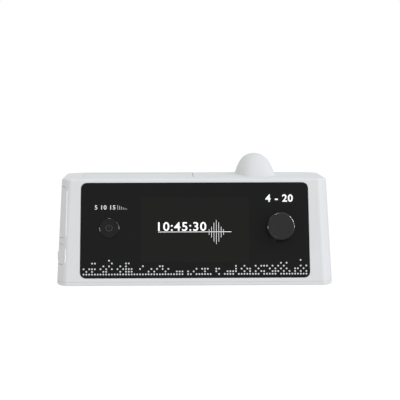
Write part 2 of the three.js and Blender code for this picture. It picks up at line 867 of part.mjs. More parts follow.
// The knob is a turned cup with a chamfered rim, a faintly dished face and a boss for the shaft.
function knobGroup() {
  const face = knobOut;
  const back = knobLift;
  const bore = shaftRadius + pinGap;
  const floor = face - knobWall;
  const inner = knobRadius - knobWall;
  const outside = [[0, face - knobDish], [knobRadius * 2 / 3, face - knobDish],
    [knobRadius - knobChamfer, face], [knobRadius, face - knobChamfer], [knobRadius, back]];
  const inside = [[inner, back], [inner, floor], [knobBossRadius, floor], [knobBossRadius, back],
    [bore, back], [bore, floor], [0, floor]];
  const profile = [...outside, ...inside];
  const knob = turned(profile.reverse(), fineSides).rotateX(quarterTurn);
  const shaftIn = collarIn + collarLength;
  const shaft = rodIn(shaftRadius, floor - gap + shaftIn, sides).translate(0, -floor + gap, 0);
  const collarHollow = rodIn(shaftRadius + pinGap, overrun, sides);
  const collar = cut(rodIn(collarRadius, collarLength, sides).translate(0, collarIn, 0), collarHollow);
  const flat = shaftRadius * 2;
  const half = encoderSize / 2;
  const encoderIn = frontBoardIn - gap - encoderHeight;
  const encoderBody = cut(
    block([-half, encoderIn, -half], [half, encoderIn + encoderHeight, half]),
    rodIn(collarRadius + pinGap, overrun, sides),
    block([-half - flat, encoderIn - flat, half - pinGap], [half + flat, encoderIn + gap, half + flat]),
  );
  return placed(grouped(
    piece('control_knob', knob, darkKnob),
    piece('encoder_shaft', shaft, steel),
    piece('push_collar', collar, greyPlastic),
    piece('encoder_body', encoderBody, greyPlastic),
  ), controlX, 0, controlHeight);
}

// Flush cap with a flange behind the panel and a stem to the push switch.
function buttonGroup() {
  const plungerTop = frontBoardIn - gap - switchHeight - plungerHeight;
  const stemEnd = plungerTop - buttonTravel - gap;
  const flangeEnd = buttonFlangeIn + buttonFlangeThickness;
  const profile = [[0, -buttonProud], [buttonRadius - gap, -buttonProud], [buttonRadius, -buttonProud + gap],
    [buttonRadius, buttonFlangeIn], [buttonFlangeRadius, buttonFlangeIn], [buttonFlangeRadius, flangeEnd],
    [buttonStemRadius, flangeEnd], [buttonStemRadius, stemEnd], [0, stemEnd]];
  const cap = turned(profile, fineSides).rotateX(-quarterTurn);
  const half = switchSize / 2;
  const body = block([-half, plungerTop + plungerHeight, -half], [half, frontBoardIn - gap, half]);
  const plungerLength = plungerHeight + switchHeight / 2;
  const plunger = rodIn(plungerRadius, plungerLength, coarseSides).translate(0, plungerTop, 0);
  return placed(grouped(
    piece('power_button', cap, blackPlastic),
    piece('power_switch', join(body, plunger), greyPlastic),
  ), -controlX, 0, controlHeight);
}

// A side door is the casing's own skin inside the door's outline, with a hinge barrel at its rear edge.
function sideDoor(name, door, ...extras) {
  const inner = caseForm(doorThickness, doorThickness, -overrun, caseTop);
  const skin = cut(caseForm(0, 0, -overrun, caseTop), inner);
  const leaf = common(skin, doorPrism(door, 0));
  const barrel = hingeRod(door, doorBarrelRadius, door.foot, door.head);
  const bore = hingeRod(door, doorPinRadius + pinGap, door.foot - overrun, door.head + overrun);
  return piece(name, cut(join(leaf, barrel, ...extras), bore), whiteCase);
}

function doorPin(name, door) {
  const end = doorPinEnd - gap;
  return piece(name, hingeRod(door, doorPinRadius, door.foot - end, door.head + end), steel);
}

// Upright finger ridge on the card door.
function fingerRidge() {
  const low = ridgeHeight - ridgeLength / 2;
  const bar = rodUp(ridgeRadius, ridgeLength, coarseSides);
  return bar.translate(-halfWidthAt(ridgeHeight), cardDoor.rear - ridgeBack, low);
}

// The filter is cut from the casing's inner form, so it lies snugly inside the door.
function filterFoam() {
  const from = doorThickness + 2 * gap;
  const outer = caseForm(from, from, baseTop, coverUnderside);
  const inner = caseForm(from + foamThickness, from + foamThickness, baseTop, coverUnderside);
  const inside = doorPrism(filterDoor, -ledgeWidth - gap);
  return piece('filter_foam', common(cut(outer, inner), inside), paleFoam);
}

// Intake duct: a plenum behind the filter, a leg down, a run under the tank bay and a leg up to the muffler.
function intakeDuct() {
  const low = baseTop + gap;
  const top = low + ductRise;
  const legInner = ductLeft + ductLegWidth;
  const exit = mufflerFoot - gap;
  const run = (inset, open) => join(...[
    [[ductLeft, ductFront, plenumFoot], [legInner, ductLegRear, plenumTop]],
    [[ductLeft, ductLegFront, low], [legInner, ductLegRear, plenumTop]],
    [[ductLeft, ductLegFront, low], [crossRight, ductLegRear, top]],
    [[crossLeft, ductFront, low], [crossRight, ductLegRear, top]],
    [[crossLeft, ductFront, low], [ductRight, ductRear, top]],
    [[ductRight - ductLegWidth, ductFront, low], [ductRight, ductRear, exit + open]],
  ].map(([from, to]) => block(from.map((value) => value + inset), to.map((value) => value - inset))));
  const mouthFoot = filterDoorFoot + 2 * ledgeWidth;
  const mouthHead = filterDoor.head - 2 * ledgeWidth;
  const mouthFront = ductFront + ledgeWidth;
  const mouthRear = ductLegRear - ledgeWidth;
  const pitch = (mouthRear - mouthFront + grilleBarWidth) / grilleBars;
  const slots = Array.from({ length: grilleBars }, (_, i) => {
    const from = mouthFront + i * pitch;
    const to = from + pitch - grilleBarWidth;
    return block([ductLeft - gap, from, mouthFoot], [ductLeft + 2 * ductWall, to, mouthHead]);
  });
  return piece('intake_duct', cut(run(0, 0), run(ductWall, overrun), ...slots), greyPlastic);
}

// Muffler over the blower, open at the top under the cover, with its foam inside.
function mufflerBox() {
  const front = ductFront;
  const outer = block([mufflerLeft, front, mufflerFoot], [mufflerRight, mufflerRear, mufflerHead]);
  const inner = block(
    [mufflerLeft + ductWall, front + ductWall, mufflerFoot + ductWall],
    [mufflerRight - ductWall, mufflerRear - ductWall, mufflerHead + overrun],
  );
  const entry = block(
    [ductRight - ductLegWidth + ductWall, front + ductWall, mufflerFoot - gap],
    [ductRight - ductWall, ductRear - ductWall, mufflerFoot + 2 * ductWall],
  );
  const exit = rodUp(intakeRadius, overrun).translate(blowerX, blowerY, mufflerFoot - overrun / 2);
  return piece('muffler_box', cut(outer, inner, entry, exit), greyPlastic);
}

function mufflerFoam() {
  const clear = ductWall + gap;
  const body = block(
    [mufflerLeft + clear, ductFront + clear, mufflerFoot + clear],
    [mufflerRight - clear, mufflerRear - clear, mufflerHead - clear],
  );
  const halfRise = (mufflerHead - mufflerFoot) / 2;
  const channel = block(
    [ductRight - ductLegWidth + clear, blowerY - intakeRadius, mufflerFoot],
    [blowerX + intakeRadius, blowerY + intakeRadius, mufflerFoot + halfRise],
  );
  return piece('muffler_foam', cut(body, channel), darkFoam);
}

// Spiral outline of the volute: it grows by one turn up to the outlet stub, which leaves towards -X.
function voluteOutline(inset) {
  const points = Array.from({ length: voluteSteps }, (_, i) => {
    const share = (i + 1) / voluteSteps;
    const radius = voluteInner + (voluteOuter - voluteInner) * share - inset;
    const angle = quarterTurn - fullTurn * (1 - share);
    return new THREE.Vector2(radius * Math.cos(angle), radius * Math.sin(angle));
  });
  return new THREE.Shape(points);
}

function volute(inset, low, high) {
  const stubWidth = 2 * pipeRadius;
  const stub = block(
    [-voluteStub - inset * voluteStub, voluteOuter - stubWidth + inset, low],
    [0, voluteOuter - inset, high],
  );
  return join(raised(voluteOutline(inset), low, high), stub);
}

// Backward-curved blades between a plate and a hub on the axle.
function impeller() {
  const blade = (turn) => {
    const edge = (side) => Array.from({ length: bladeSteps + 1 }, (_, i) => {
      const share = i / bladeSteps;
      const radius = impellerHubRadius - bladeThickness + (impellerRadius - impellerHubRadius) * share;
      const halfAngle = bladeThickness / impellerRadius / (share + 1);
      const angle = turn - bladeSweep * share + side * halfAngle;
      return new THREE.Vector2(radius * Math.cos(angle), radius * Math.sin(angle));
    });
    return raised(new THREE.Shape([...edge(-1), ...edge(1).reverse()]), 0, impellerHeight);
  };
  const blades = Array.from({ length: bladeCount }, (_, i) => blade(fullTurn * i / bladeCount));
  const plate = rodUp(impellerRadius, impellerPlate, fineSides);
  const hub = rodUp(impellerHubRadius, impellerHeight);
  const axleFoot = -impellerLift / 2;
  const axle = rodUp(impellerAxleRadius, impellerPlate - axleFoot, coarseSides).translate(0, 0, axleFoot);
  return join(plate, hub, axle, ...blades);
}

function blowerGroup() {
  const motorHeight = impellerLift - voluteFloor - 2 * gap;
  const motor = cut(
    rodUp(motorRadius, motorHeight),
    rodUp(impellerAxleRadius + pinGap, overrun, coarseSides).translate(0, 0, motorHeight - impellerLift / 2),
  );
  const lower = cut(volute(0, 0, voluteHeight), volute(voluteWall, voluteFloor, voluteHeight + overrun));
  const capFoot = voluteHeight + gap;
  const collar = ring(intakeRadius, intakeRadius + voluteWall, capFoot, voluteHeight + intakeHeight);
  const capPlate = volute(0, capFoot, capFoot + voluteWall);
  const upper = join(cut(capPlate, rodUp(intakeRadius, 2 * overrun)), collar);
  const base = baseTop + gap;
  return placed(grouped(
    piece('blower_mount', ring(mountRadius - mountWidth, mountRadius, 0, mountHeight), greyRubber),
    placed(piece('blower_lower', lower, greyPlastic), 0, 0, mountHeight + gap),
    placed(piece('blower_upper', upper, greyPlastic), 0, 0, mountHeight + gap),
    placed(piece('blower_motor', motor, aluminium), 0, 0, mountHeight + 2 * gap + voluteFloor),
    placed(piece('impeller', impeller(), clearPlastic), 0, 0, mountHeight + gap + impellerLift),
  ), blowerX, blowerY, base);
}

function tankOutline(inset) {
  const radius = tankRadius - inset;
  return roundedRectangle(tankLeft + inset, tankFront + inset, tankRight - inset, tankRear - inset, radius);
}

function tankMiddle() {
  return [(tankLeft + tankRight) / 2, (tankFront + tankRear) / 2];
}

// Open bay with a flange under the top cover, a floor with the heater's hole and two air ports.
function tankBay() {
  const flangeTop = coverUnderside - gap;
  const inner = -bayClearance;
  const outer = inner - bayWall;
  const flange = roundedRectangle(lidLeft - bayFlange, lidFront - bayFlange, lidRight + bayFlange,
    lidHinge - lidBarrelRadius - 2 * gap, lidRadius);
  const tub = join(
    raised(tankOutline(outer), bayFloor, flangeTop),
    raised(flange, flangeTop - bayFlangeThickness, flangeTop),
  );
  const [x, y] = tankMiddle();
  const ports = [portInY, portOutY].map((portY) => rodAcross(pipeRadius + gap, overrun)
    .translate(tankRight - bayClearance, portY, portHeight));
  return piece('tank_bay', cut(
    tub,
    raised(tankOutline(inner), bayFloor + bayWall, flangeTop + overrun),
    rodUp(heaterRadius + gap, overrun, fineSides).translate(x, y, bayFloor - overrun / 2),
    ...ports,
  ), greyPlastic);
}

// Bracket on three legs over the intake duct, and the heater plate on it.
function heaterGroup() {
  const [x, y] = tankMiddle();
  const plateFoot = heaterTop() - heaterThickness;
  const ringFoot = baseTop + ductRise + 2 * gap;
  const bracket = ring(heaterRadius - heaterRingWidth, heaterRadius, ringFoot, plateFoot - gap, sides);
  const legs = Array.from({ length: heaterLegs }, (_, i) => {
    const angle = (quarterTurn + fullTurn * i) / heaterLegs;
    const reach = heaterRadius - heaterRingWidth / 2;
    return rodUp(postRadius, plateFoot - 2 * gap - baseTop, coarseSides)
      .translate(reach * Math.cos(angle), reach * Math.sin(angle), baseTop + gap);
  });
  const plate = rodUp(heaterRadius, heaterThickness, fineSides);
  return placed(grouped(
    piece('heater_bracket', join(bracket, ...legs), greyPlastic),
    placed(piece('heater_plate', plate, aluminium), 0, 0, plateFoot),
  ), x, y, 0);
}

function heaterTop() {
  return bayFloor + heaterLift - gap;
}

function waterTank() {
  const foot = heaterTop() + gap;
  const [x, y] = tankMiddle();
  const inside = raised(tankOutline(tankWall), foot + tankWall, tankRim + overrun);
  const shell = cut(raised(tankOutline(0), foot, tankRim), inside);
  const seat = rodUp(tankDiscRadius + gap, tankDiscThickness + gap, fineSides).translate(x, y, foot);
  const hole = rodUp(tankDiscRadius - tankDiscLip, overrun, fineSides).translate(x, y, foot - gap);
  return piece('water_tank', cut(shell, seat, hole), clearPlastic);
}

function tankDisc() {
  const [x, y] = tankMiddle();
  const disc = rodUp(tankDiscRadius, tankDiscThickness - gap, fineSides);
  return placed(piece('tank_disc', disc, steel), x, y, heaterTop() + 2 * gap);
}

function tankSeal() {
  const low = tankRim + gap;
  const outline = tankOutline(gap);
  outline.holes.push(tankOutline(tankWall + gap));
  return piece('tank_seal', raised(outline, low, low + tankSealHeight), greyRubber);
}

// Cover of the tank: an upturned cap with the two air ports on its right side.
function tankCover() {
  const low = tankRim + 2 * gap + tankSealHeight;
  const ports = [portInY, portOutY].map((y) => rodAcross(pipeRadius - pipeWall, overrun)
    .translate(tankRight - overrun / 2, y, portHeight));
  const inside = raised(tankOutline(tankWall), low - overrun, tankHead - tankWall);
  const shell = cut(raised(tankOutline(0), low, tankHead), inside);
  return piece('tank_cover', cut(shell, ...ports), clearPlastic);
}

// Soft duct from the blower up to the tank, a tube along a curve with its bore.
function blowerDuct() {
  const start = [
    blowerX - voluteStub - gap,
    blowerY + voluteOuter - pipeRadius,
    baseTop + 2 * gap + mountHeight + voluteHeight / 2,
  ];
  const end = [tankRight + bayClearance, portInY, portHeight];
  const column = tankRight + columnInset;
  const bend = pipeRadius + pipeRadius / 2;
  const path = new THREE.CatmullRomCurve3([
    new THREE.Vector3(...start),
    new THREE.Vector3(start[0] - bend, start[1], start[2]),
    new THREE.Vector3(column + bend / 4, start[1] - gap, start[2] + bend),
    new THREE.Vector3(column, (start[1] + end[1]) / 2, (start[2] + end[2]) / 2),
    new THREE.Vector3(column - gap, end[1], end[2] - bend),
    new THREE.Vector3(end[0] + bend / 2, end[1], end[2]),
    new THREE.Vector3(...end),
  ]);
  const section = circle(pipeRadius);
  section.holes.push(circle(pipeRadius - pipeWall));
  const options = { steps: ductSteps, curveSegments: cornerSteps * 2, extrudePath: path };
  const tube = new THREE.ExtrudeGeometry(section, options);
  return piece('blower_duct', tube, greyRubber);
}

// Rigid duct from the tank: across, up into the cowl and back to the outlet's spigot.
function outletDuct() {
  const from = tankRight + bayClearance / 2;
  const air = (inset, open) => join(
    rodAcross(pipeRadius - inset, outletX - from + open).translate(from - open, portOutY, portHeight),
    rodUp(domeRadius - inset, caseTop - domeFoot - inset).translate(outletX, portOutY, domeFoot + inset),
    new THREE.SphereGeometry(domeRadius - inset, sides, sides / 2).rotateX(quarterTurn)
      .translate(outletX, portOutY, caseTop),
    rodIn(domeRadius - ductWall / 2 - inset, bulkheadFront - gap - portOutY + open)
      .translate(outletX, portOutY, outletHeight),
  );
  return piece('outlet_duct', cut(air(0, 0), air(ductWall, ductWall)), greyPlastic);
}

// Tapered outlet for a 22 mm hose cuff, with its flange on the bulkhead and its spigot through it.
function airOutlet() {
  const flangeFoot = bulkheadThickness + gap;
  const flangeHead = flangeFoot + outletFlangeThickness;
  const tip = flangeHead + taperLength;
  const profile = [
    [outletBore, gap],
    [spigotRadius, gap],
    [spigotRadius, flangeFoot],
    [outletFlangeRadius, flangeFoot],
    [outletFlangeRadius, flangeHead],
    [taperBase, flangeHead],
    [taperTip, tip - gap],
    [taperTip - gap, tip],
    [outletBore, tip],
    [outletBore, gap],
  ];
  const outlet = turned(profile, fineSides).rotateX(-quarterTurn);
  return placed(piece('air_outlet', outlet, greyPlastic), outletX, bulkheadFront, outletHeight);
}

// Card board with the socket on it, and the memory card in the socket.
function cardGroup() {
  const boardTop = cardBoardFoot + boardThickness;
  const radius = postRadius / 2;
  const outline = roundedRectangle(cardBoardLeft, cardBoardFront, cardBoardRight, cardBoardRear, radius);
  const board = raised(outline, cardBoardFoot, boardTop);
  const low = boardTop + gap;
  const cardFoot = low + socketWall + gap;
  const half = cardWidth / 2;
  const shellHalf = half + gap + socketWall;
  const inner = cardEdge + cardLength + cardTravel + gap;
  const outer = inner + socketWall - socketLength;
  const roof = cardFoot + cardThickness + gap;
  const top = roof + socketWall;
  const hollowHalf = half + gap;
  const socket = cut(
    block([outer, cardMiddle - shellHalf, low], [inner + socketWall, cardMiddle + shellHalf, top]),
    block([outer - overrun, cardMiddle - hollowHalf, cardFoot - gap], [inner, cardMiddle + hollowHalf, roof]),
  );
  const notch = cardThickness * 2;
  const card = roundedOutline([
    [cardEdge, cardMiddle - half, gap],
    [cardEdge + cardLength - notch, cardMiddle - half, gap],
    [cardEdge + cardLength, cardMiddle - half + notch, gap],
    [cardEdge + cardLength, cardMiddle + half, gap],
    [cardEdge, cardMiddle + half, gap],
  ]);
  return [
    piece('card_board', board, greenBoard),
    piece('card_socket', socket, steel),
    piece('memory_card', raised(card, cardFoot, cardFoot + cardThickness), blackPlastic),
  ];
}

// Main board at the rear right with the power inlet at its edge.
function powerGroup() {
  const boardTop = mainBoardFoot + boardThickness;
  const outline = roundedRectangle(mainBoardLeft, mainBoardFront, mainBoardRight, mainBoardRear, postRadius);
  const board = raised(outline, mainBoardFoot, boardTop);
  const rearInside = caseDepth / 2 - wall - boardTop * Math.tan(rearDraft) - 2 * gap;
  const low = boardTop + gap;
  const body = block(
    [jackX - jackWidth / 2, rearInside - jackLength, low],
    [jackX + jackWidth / 2, rearInside, low + jackHeight],
  );
  const middle = low + jackHeight / 2;
  const snout = rodIn(jackSnoutRadius, jackSnoutLength + gap).translate(jackX, rearInside - gap, middle);
  const boreDepth = jackLength * 3 / 4;
  const boreEnd = rearInside - boreDepth;
  const bore = rodIn(jackBore, jackLength).translate(jackX, boreEnd + jackSnoutLength, middle);
  const pin = rodIn(jackPinRadius, boreDepth, coarseSides).translate(jackX, boreEnd, middle);
  return [
    piece('main_board', board, greenBoard),
    piece('power_inlet', join(cut(join(body, snout), bore), pin), blackPlastic),
  ];
}

// Everything that is mounted on the leaning front, placed in the front's own plane.
function faceGroup() {
  const group = grouped(frontPanel(), displayModule(), frontBoard(), knobGroup(), buttonGroup());
  group.rotation.x = -caseLean;
  return placed(group, 0, frontEdge, 0);
}

const shell = casing();

const machine = grouped(
  frontHousing(shell),
  rearHousing(shell),
  topCover(shell),
  basePlate(shell),
  ...feet(),
  ...screws(),
  faceGroup(),
  sideDoor('filter_door', filterDoor),
  doorPin('filter_door_pin', filterDoor),
  filterFoam(),
  sideDoor('card_door', cardDoor, fingerRidge()),
  doorPin('card_door_pin', cardDoor),
  ...cardGroup(),
  tankLid(),
  lidPin(),
  tankBay(),
  heaterGroup(),
  waterTank(),
  tankDisc(),
  tankSeal(),
  tankCover(),
  intakeDuct(),
  mufflerBox(),
  mufflerFoam(),
  blowerGroup(),
  blowerDuct(),
  outletDuct(),
  airOutlet(),
  ...powerGroup(),
);

export default machine;
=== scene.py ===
import math
import random

import bmesh
import bpy
from mathutils import Matrix, Vector
from mathutils.bvhtree import BVHTree


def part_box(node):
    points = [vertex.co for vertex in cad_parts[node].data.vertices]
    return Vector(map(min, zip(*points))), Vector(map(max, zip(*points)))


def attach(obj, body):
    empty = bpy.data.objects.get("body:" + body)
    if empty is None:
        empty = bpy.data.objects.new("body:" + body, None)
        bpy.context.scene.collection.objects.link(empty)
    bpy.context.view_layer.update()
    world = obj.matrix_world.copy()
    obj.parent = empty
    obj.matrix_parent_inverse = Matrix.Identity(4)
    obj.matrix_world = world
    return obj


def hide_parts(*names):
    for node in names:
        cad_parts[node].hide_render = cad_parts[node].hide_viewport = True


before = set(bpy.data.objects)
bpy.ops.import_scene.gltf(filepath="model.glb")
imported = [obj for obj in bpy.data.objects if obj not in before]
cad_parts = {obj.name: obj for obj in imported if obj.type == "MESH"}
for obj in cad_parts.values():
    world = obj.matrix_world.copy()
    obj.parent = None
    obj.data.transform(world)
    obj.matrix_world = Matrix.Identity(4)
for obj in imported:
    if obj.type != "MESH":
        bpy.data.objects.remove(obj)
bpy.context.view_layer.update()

scene = bpy.context.scene

# Lengths are in millimetres in the CAD frame: X across, Y from the screen to the rear, Z up.
# keepPiece turns a finished mesh to metres.
mm = 0.001
gap = 0.3          # between neighbouring shells
doorGap = 0.6      # round the lid, and above and below the hinges
doorSeam = 0.35    # round the side doors
pinGap = 0.15      # round a hinge pin
reach = 30         # how far a cutting tool runs past what it cuts

# camera, fitted to the corners of the panel, the knob, the button and the outline

view = {"across": -33.5, "back": 1700, "up": 205.0, "pitch": 4.169, "turn": -1.351, "roll": -0.108,
        "lens": 148.62, "sensor": 36, "clipEnd": 50}


def aimCamera():
    data = bpy.data.cameras.new("camera")
    data.sensor_width = view["sensor"]
    data.lens = view["lens"]
    data.clip_end = view["clipEnd"]
    camera = bpy.data.objects.new("camera", data)
    scene.collection.objects.link(camera)
    aim = Matrix.Rotation(math.radians(view["turn"]), 4, "Z")
    aim @= Matrix.Rotation(math.radians(90 - view["pitch"]), 4, "X")
    aim @= Matrix.Rotation(math.radians(view["roll"]), 4, "Z")
    place = Vector((view["across"], -view["back"], view["up"])) * mm
    camera.matrix_world = Matrix.Translation(place) @ aim
    scene.camera = camera


aimCamera()
print("camera set")


# solids

samePoint = 0.001      # points nearer than this are one
softening = {"weld": 0.02, "weldAfter": 0.01, "offSkin": 0.05, "leastAngle": 35, "steps": 2}
shading = {"sharpFrom": 32, "weight": 60}       # degrees, and how much large faces lead the normals


def makeSolid(points, faces):
    mesh = bpy.data.meshes.new("solid")
    mesh.from_pydata([tuple(p) for p in points], [], faces)
    shape = bmesh.new()
    shape.from_mesh(mesh)
    bmesh.ops.remove_doubles(shape, verts=shape.verts, dist=samePoint)
    bmesh.ops.recalc_face_normals(shape, faces=shape.faces)
    shape.to_mesh(mesh)
    shape.free()
    solid = bpy.data.objects.new("solid", mesh)
    scene.collection.objects.link(solid)
    return solid


# joins rings of equal length, and caps the two ends or joins them too
def loft(rings, closed=False):
    count = len(rings[0])
    faces = []
    for k in range(len(rings) if closed else len(rings) - 1):
        low, high = k * count, (k + 1) % len(rings) * count
        for i in range(count):
            after = (i + 1) % count
            faces.append((low + i, low + after, high + after, high + i))
    if not closed:
        last = (len(rings) - 1) * count
        faces += [tuple(range(count))[::-1], tuple(range(last, last + count))]
    return makeSolid([p for ring in rings for p in ring], faces)


def settle(body):
    depsgraph = bpy.context.evaluated_depsgraph_get()
    mesh = bpy.data.meshes.new_from_object(body.evaluated_get(depsgraph), preserve_all_data_layers=True,
                                           depsgraph=depsgraph)
    body.modifiers.clear()
    body.data, old = mesh, body.data
    bpy.data.meshes.remove(old)
    return body


def combine(body, operation, tools):
    for tool in tools:
        step = body.modifiers.new("step", "BOOLEAN")
        step.operation = operation
        step.solver = "MANIFOLD"
        step.object = tool
    settle(body)
    discard(*tools)
    return body


def cut(body, *tools):
    return combine(body, "DIFFERENCE", tools)


def join(body, *tools):
    return combine(body, "UNION", tools)


def common(body, *tools):
    return combine(body, "INTERSECT", tools)


def twin(body):
    other = bpy.data.objects.new("solid", body.data.copy())
    scene.collection.objects.link(other)
    return other


# removing a mesh takes its object with it
def discard(*bodies):
    for body in bodies:
        bpy.data.meshes.remove(body.data)


def upright(u, v, w):
    return (u, v, w)


def onSide(u, v, w):
    return (w, u, v)


def onRear(u, v, w):
    return (u, w, v)


def plate(outline, low, high, place=upright):
    return loft([[place(u, v, w) for u, v in outline] for w in (low, high)])


def block(low, high):
    corners = [(low[0], low[1]), (high[0], low[1]), (high[0], high[1]), (low[0], high[1])]
    return plate(corners, low[2], high[2])


def circle(radius, sides, x=0, y=0):
    turns = [2 * math.pi * i / sides for i in range(sides)]
    return [(x + radius * math.cos(t), y + radius * math.sin(t)) for t in turns]


def rod(start, end, radius, sides):
    axis = Vector(end) - Vector(start)
    side = axis.orthogonal().normalized()
    other = axis.cross(side).normalized()
    ring = circle(radius, sides)
    return loft([[Vector(c) + side * u + other * v for u, v in ring] for c in (start, end)])


def uprightRods(places, low, high, radius, sides):
    return [rod((x, y, low), (x, y, high), radius, sides) for x, y in places]


# a profile of [radius, height] turned round the axis that place draws along w
def turned(profile, place, sides=72, closed=False):
    return loft([[place(u, v, w) for u, v in circle(max(r, 1e-5), sides)] for r, w in profile], closed)


def arc(cx, cy, rx, ry, start, end, steps):
    turns = [math.radians(start + (end - start) * i / steps) for i in range(steps + 1)]
    return [(cx + rx * math.cos(t), cy + ry * math.sin(t)) for t in turns]


def quarter(r, h, radius, start, end, steps=6):
    return arc(r, h, radius, radius, start, end, steps)


# the turns of a quarter round, from 0 to 90 degrees, in radians
def quarterTurns(steps):
    return [math.pi / 2 * k / steps for k in range(steps + 1)]


# rounds each corner (x, y, radius) by a curve from one side to the next
def roundedOutline(corners, steps=8):
    outline = []
    for i, (x, y, radius) in enumerate(corners):
        here = Vector((x, y))
        others = [Vector(corners[k][:2]) for k in (i - 1, (i + 1) % len(corners))]
        before, after = (here + (other - here).normalized() * radius for other in others)
        for t in (k / steps for k in range(steps + 1)):
            outline.append(tuple(before * (1 - t) ** 2 + here * 2 * t * (1 - t) + after * t ** 2))
    return outline


def rectangle(left, low, right, high):
    return [(left, low), (right, low), (right, high), (left, high)]


def roundedRectangle(left, low, right, high, radius, steps=8):
    return roundedOutline([(x, y, radius) for x, y in rectangle(left, low, right, high)], steps)


# joins points that lie within weld of each other, and takes out faces under half as wide
def cleanMesh(shape, weld):
    bmesh.ops.remove_doubles(shape, verts=shape.verts, dist=weld)
    bmesh.ops.dissolve_degenerate(shape, edges=shape.edges, dist=weld / 2)


# rounds the sharp edges that lie on the outer skin, as a mould's parting edges are
def soften(body, skin, width):
    shape = bmesh.new()
    shape.from_mesh(body.data)
    cleanMesh(shape, softening["weld"])
    onSkin = {v: skin.find_nearest(v.co)[3] < softening["offSkin"] for v in shape.verts}
    least = math.radians(softening["leastAngle"])
    edges = [e for e in shape.edges if len(e.link_faces) == 2 and e.is_convex
             and e.calc_face_angle(0) > least and all(onSkin[v] for v in e.verts)]
    bmesh.ops.bevel(shape, geom=edges, offset=width, offset_type="OFFSET", segments=softening["steps"],
                    profile=0.5, affect="EDGES", clamp_overlap=True)
    cleanMesh(shape, softening["weldAfter"])
    shape.to_mesh(body.data)
    shape.free()
    return body


def skinOf(*bodies):
    points, faces = [], []
    for body in bodies:
        first = len(points)
        points += [v.co.copy() for v in body.data.vertices]
        faces += [[first + i for i in p.vertices] for p in body.data.polygons]
    return BVHTree.FromPolygons(points, faces)


def smoothNormals(body, sharpFrom):
    body.data.shade_smooth()
    body.data.set_sharp_from_angle(angle=math.radians(sharpFrom))
    weighted = body.modifiers.new("normals", "WEIGHTED_NORMAL")
    weighted.keep_sharp = True
    weighted.weight = shading["weight"]
    return body


def keepPiece(body, name, finish, rides="machine", stands=(), sharpFrom=shading["sharpFrom"]):
    body.name = name
    body.data.transform(Matrix.Scale(mm, 4))
    body.data.materials.clear()
    body.data.materials.append(finish)
    smoothNormals(body, sharpFrom)
    settle(body)
    body.data.name = name
    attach(body, rides)
    if stands:
        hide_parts(*stands)
    return body


# materials

iorOf = {"abs": 1.54, "acrylic": 1.49, "silicone": 1.43, "polycarbonate": 1.585}
noiseLow, noiseHigh = 0.3, 0.7         # most of a noise's values lie between these


def toLinear(hexColour):
    channels = [int(hexColour[i:i + 2], 16) / 255 for i in (1, 3, 5)]
    return tuple(c / 12.92 if c <= 0.04045 else ((c + 0.055) / 1.055) ** 2.4 for c in channels) + (1,)


# adds a node, links the inputs that are given as sockets and sets the others
def addNode(tree, kind, inputs=None, **settings):
    node = tree.nodes.new("ShaderNode" + kind)
    for name, value in settings.items():
        setattr(node, name, value)
    for name, value in (inputs or {}).items():
        if isinstance(value, bpy.types.NodeSocket):
            tree.links.new(value, node.inputs[name])
        else:
            node.inputs[name].default_value = value
    return node


def newMaterial(name):
    material = bpy.data.materials.new(name)
    material.use_nodes = True
    material.node_tree.nodes.clear()
    return material, material.node_tree


# colour varies between two tones by slow noise, roughness by fine noise, and a bump gives the moulded grain
def surface(name, tones, roughness, spread, grainMm, bumpMm, toneMm=60, metallic=0.0, ior=1.5, extra=None):
    material, tree = newMaterial(name)
    place = addNode(tree, "TexCoord").outputs["Object"]
    slow = addNode(tree, "TexNoise", {"Vector": place, "Scale": 1 / (toneMm * mm), "Detail": 3.0})
    fine = addNode(tree, "TexNoise", {"Vector": place, "Scale": 1 / (grainMm * mm), "Detail": 2.0})
    mix = addNode(tree, "ValToRGB", {"Fac": slow.outputs["Fac"]})
    for stop, position, tone in zip(mix.color_ramp.elements, (noiseLow, noiseHigh), tones):
        stop.position = position
        stop.color = toLinear(tone)
    rough = addNode(tree, "MapRange", {
        "Value": fine.outputs["Fac"], "From Min": noiseLow, "From Max": noiseHigh,
        "To Min": roughness - spread, "To Max": roughness + spread})
    bump = addNode(tree, "Bump", {"Height": fine.outputs["Fac"], "Distance": bumpMm * mm, "Strength": 1.0})
    shader = addNode(tree, "BsdfPrincipled", {
        "Base Color": mix.outputs["Color"], "Roughness": rough.outputs["Result"],
        "Normal": bump.outputs["Normal"], "Metallic": metallic, "IOR": ior, **(extra or {})})
    addNode(tree, "OutputMaterial", {"Surface": shader.outputs["BSDF"]})
    return material


def glow(strength):
    return {"Emission Color": toLinear("#ffffff"), "Emission Strength": strength}


# moulded ABS with a satin spark-eroded grain: it gives a soft, even sheen with no hot spots
mouldedAbs = surface(
    "moulded ABS, satin white", ("#e3e4e5", "#e6e7e8"), ior=iorOf["abs"],
    roughness=0.42, spread=0.05, grainMm=0.9, bumpMm=0.015)
# acrylic printed black from behind: its polished front mirrors the room faintly over the print
printedAcrylic = surface(
    "back-printed acrylic, polished", ("#1a1b1a", "#1c1c1b"), ior=iorOf["acrylic"],
    roughness=0.09, spread=0.02, grainMm=9, bumpMm=0.002, extra={"Specular IOR Level": 0.1})
# clear acrylic over an unlit liquid-crystal display: the picture area reads a little greyer than the print
displayAcrylic = surface(
    "clear acrylic over an unlit display", ("#1e1f1d", "#20201e"), ior=iorOf["acrylic"],
    roughness=0.1, spread=0.02, grainMm=9, bumpMm=0.002, extra={"Specular IOR Level": 0.1})
# lit pixels behind the clear window: an even white that no shade dulls
litPixels = surface(
    "lit white pixels", ("#f4f6f6", "#fbfbfb"),
    roughness=0.4, spread=0.02, grainMm=2, bumpMm=0.001, extra=glow(0.4))
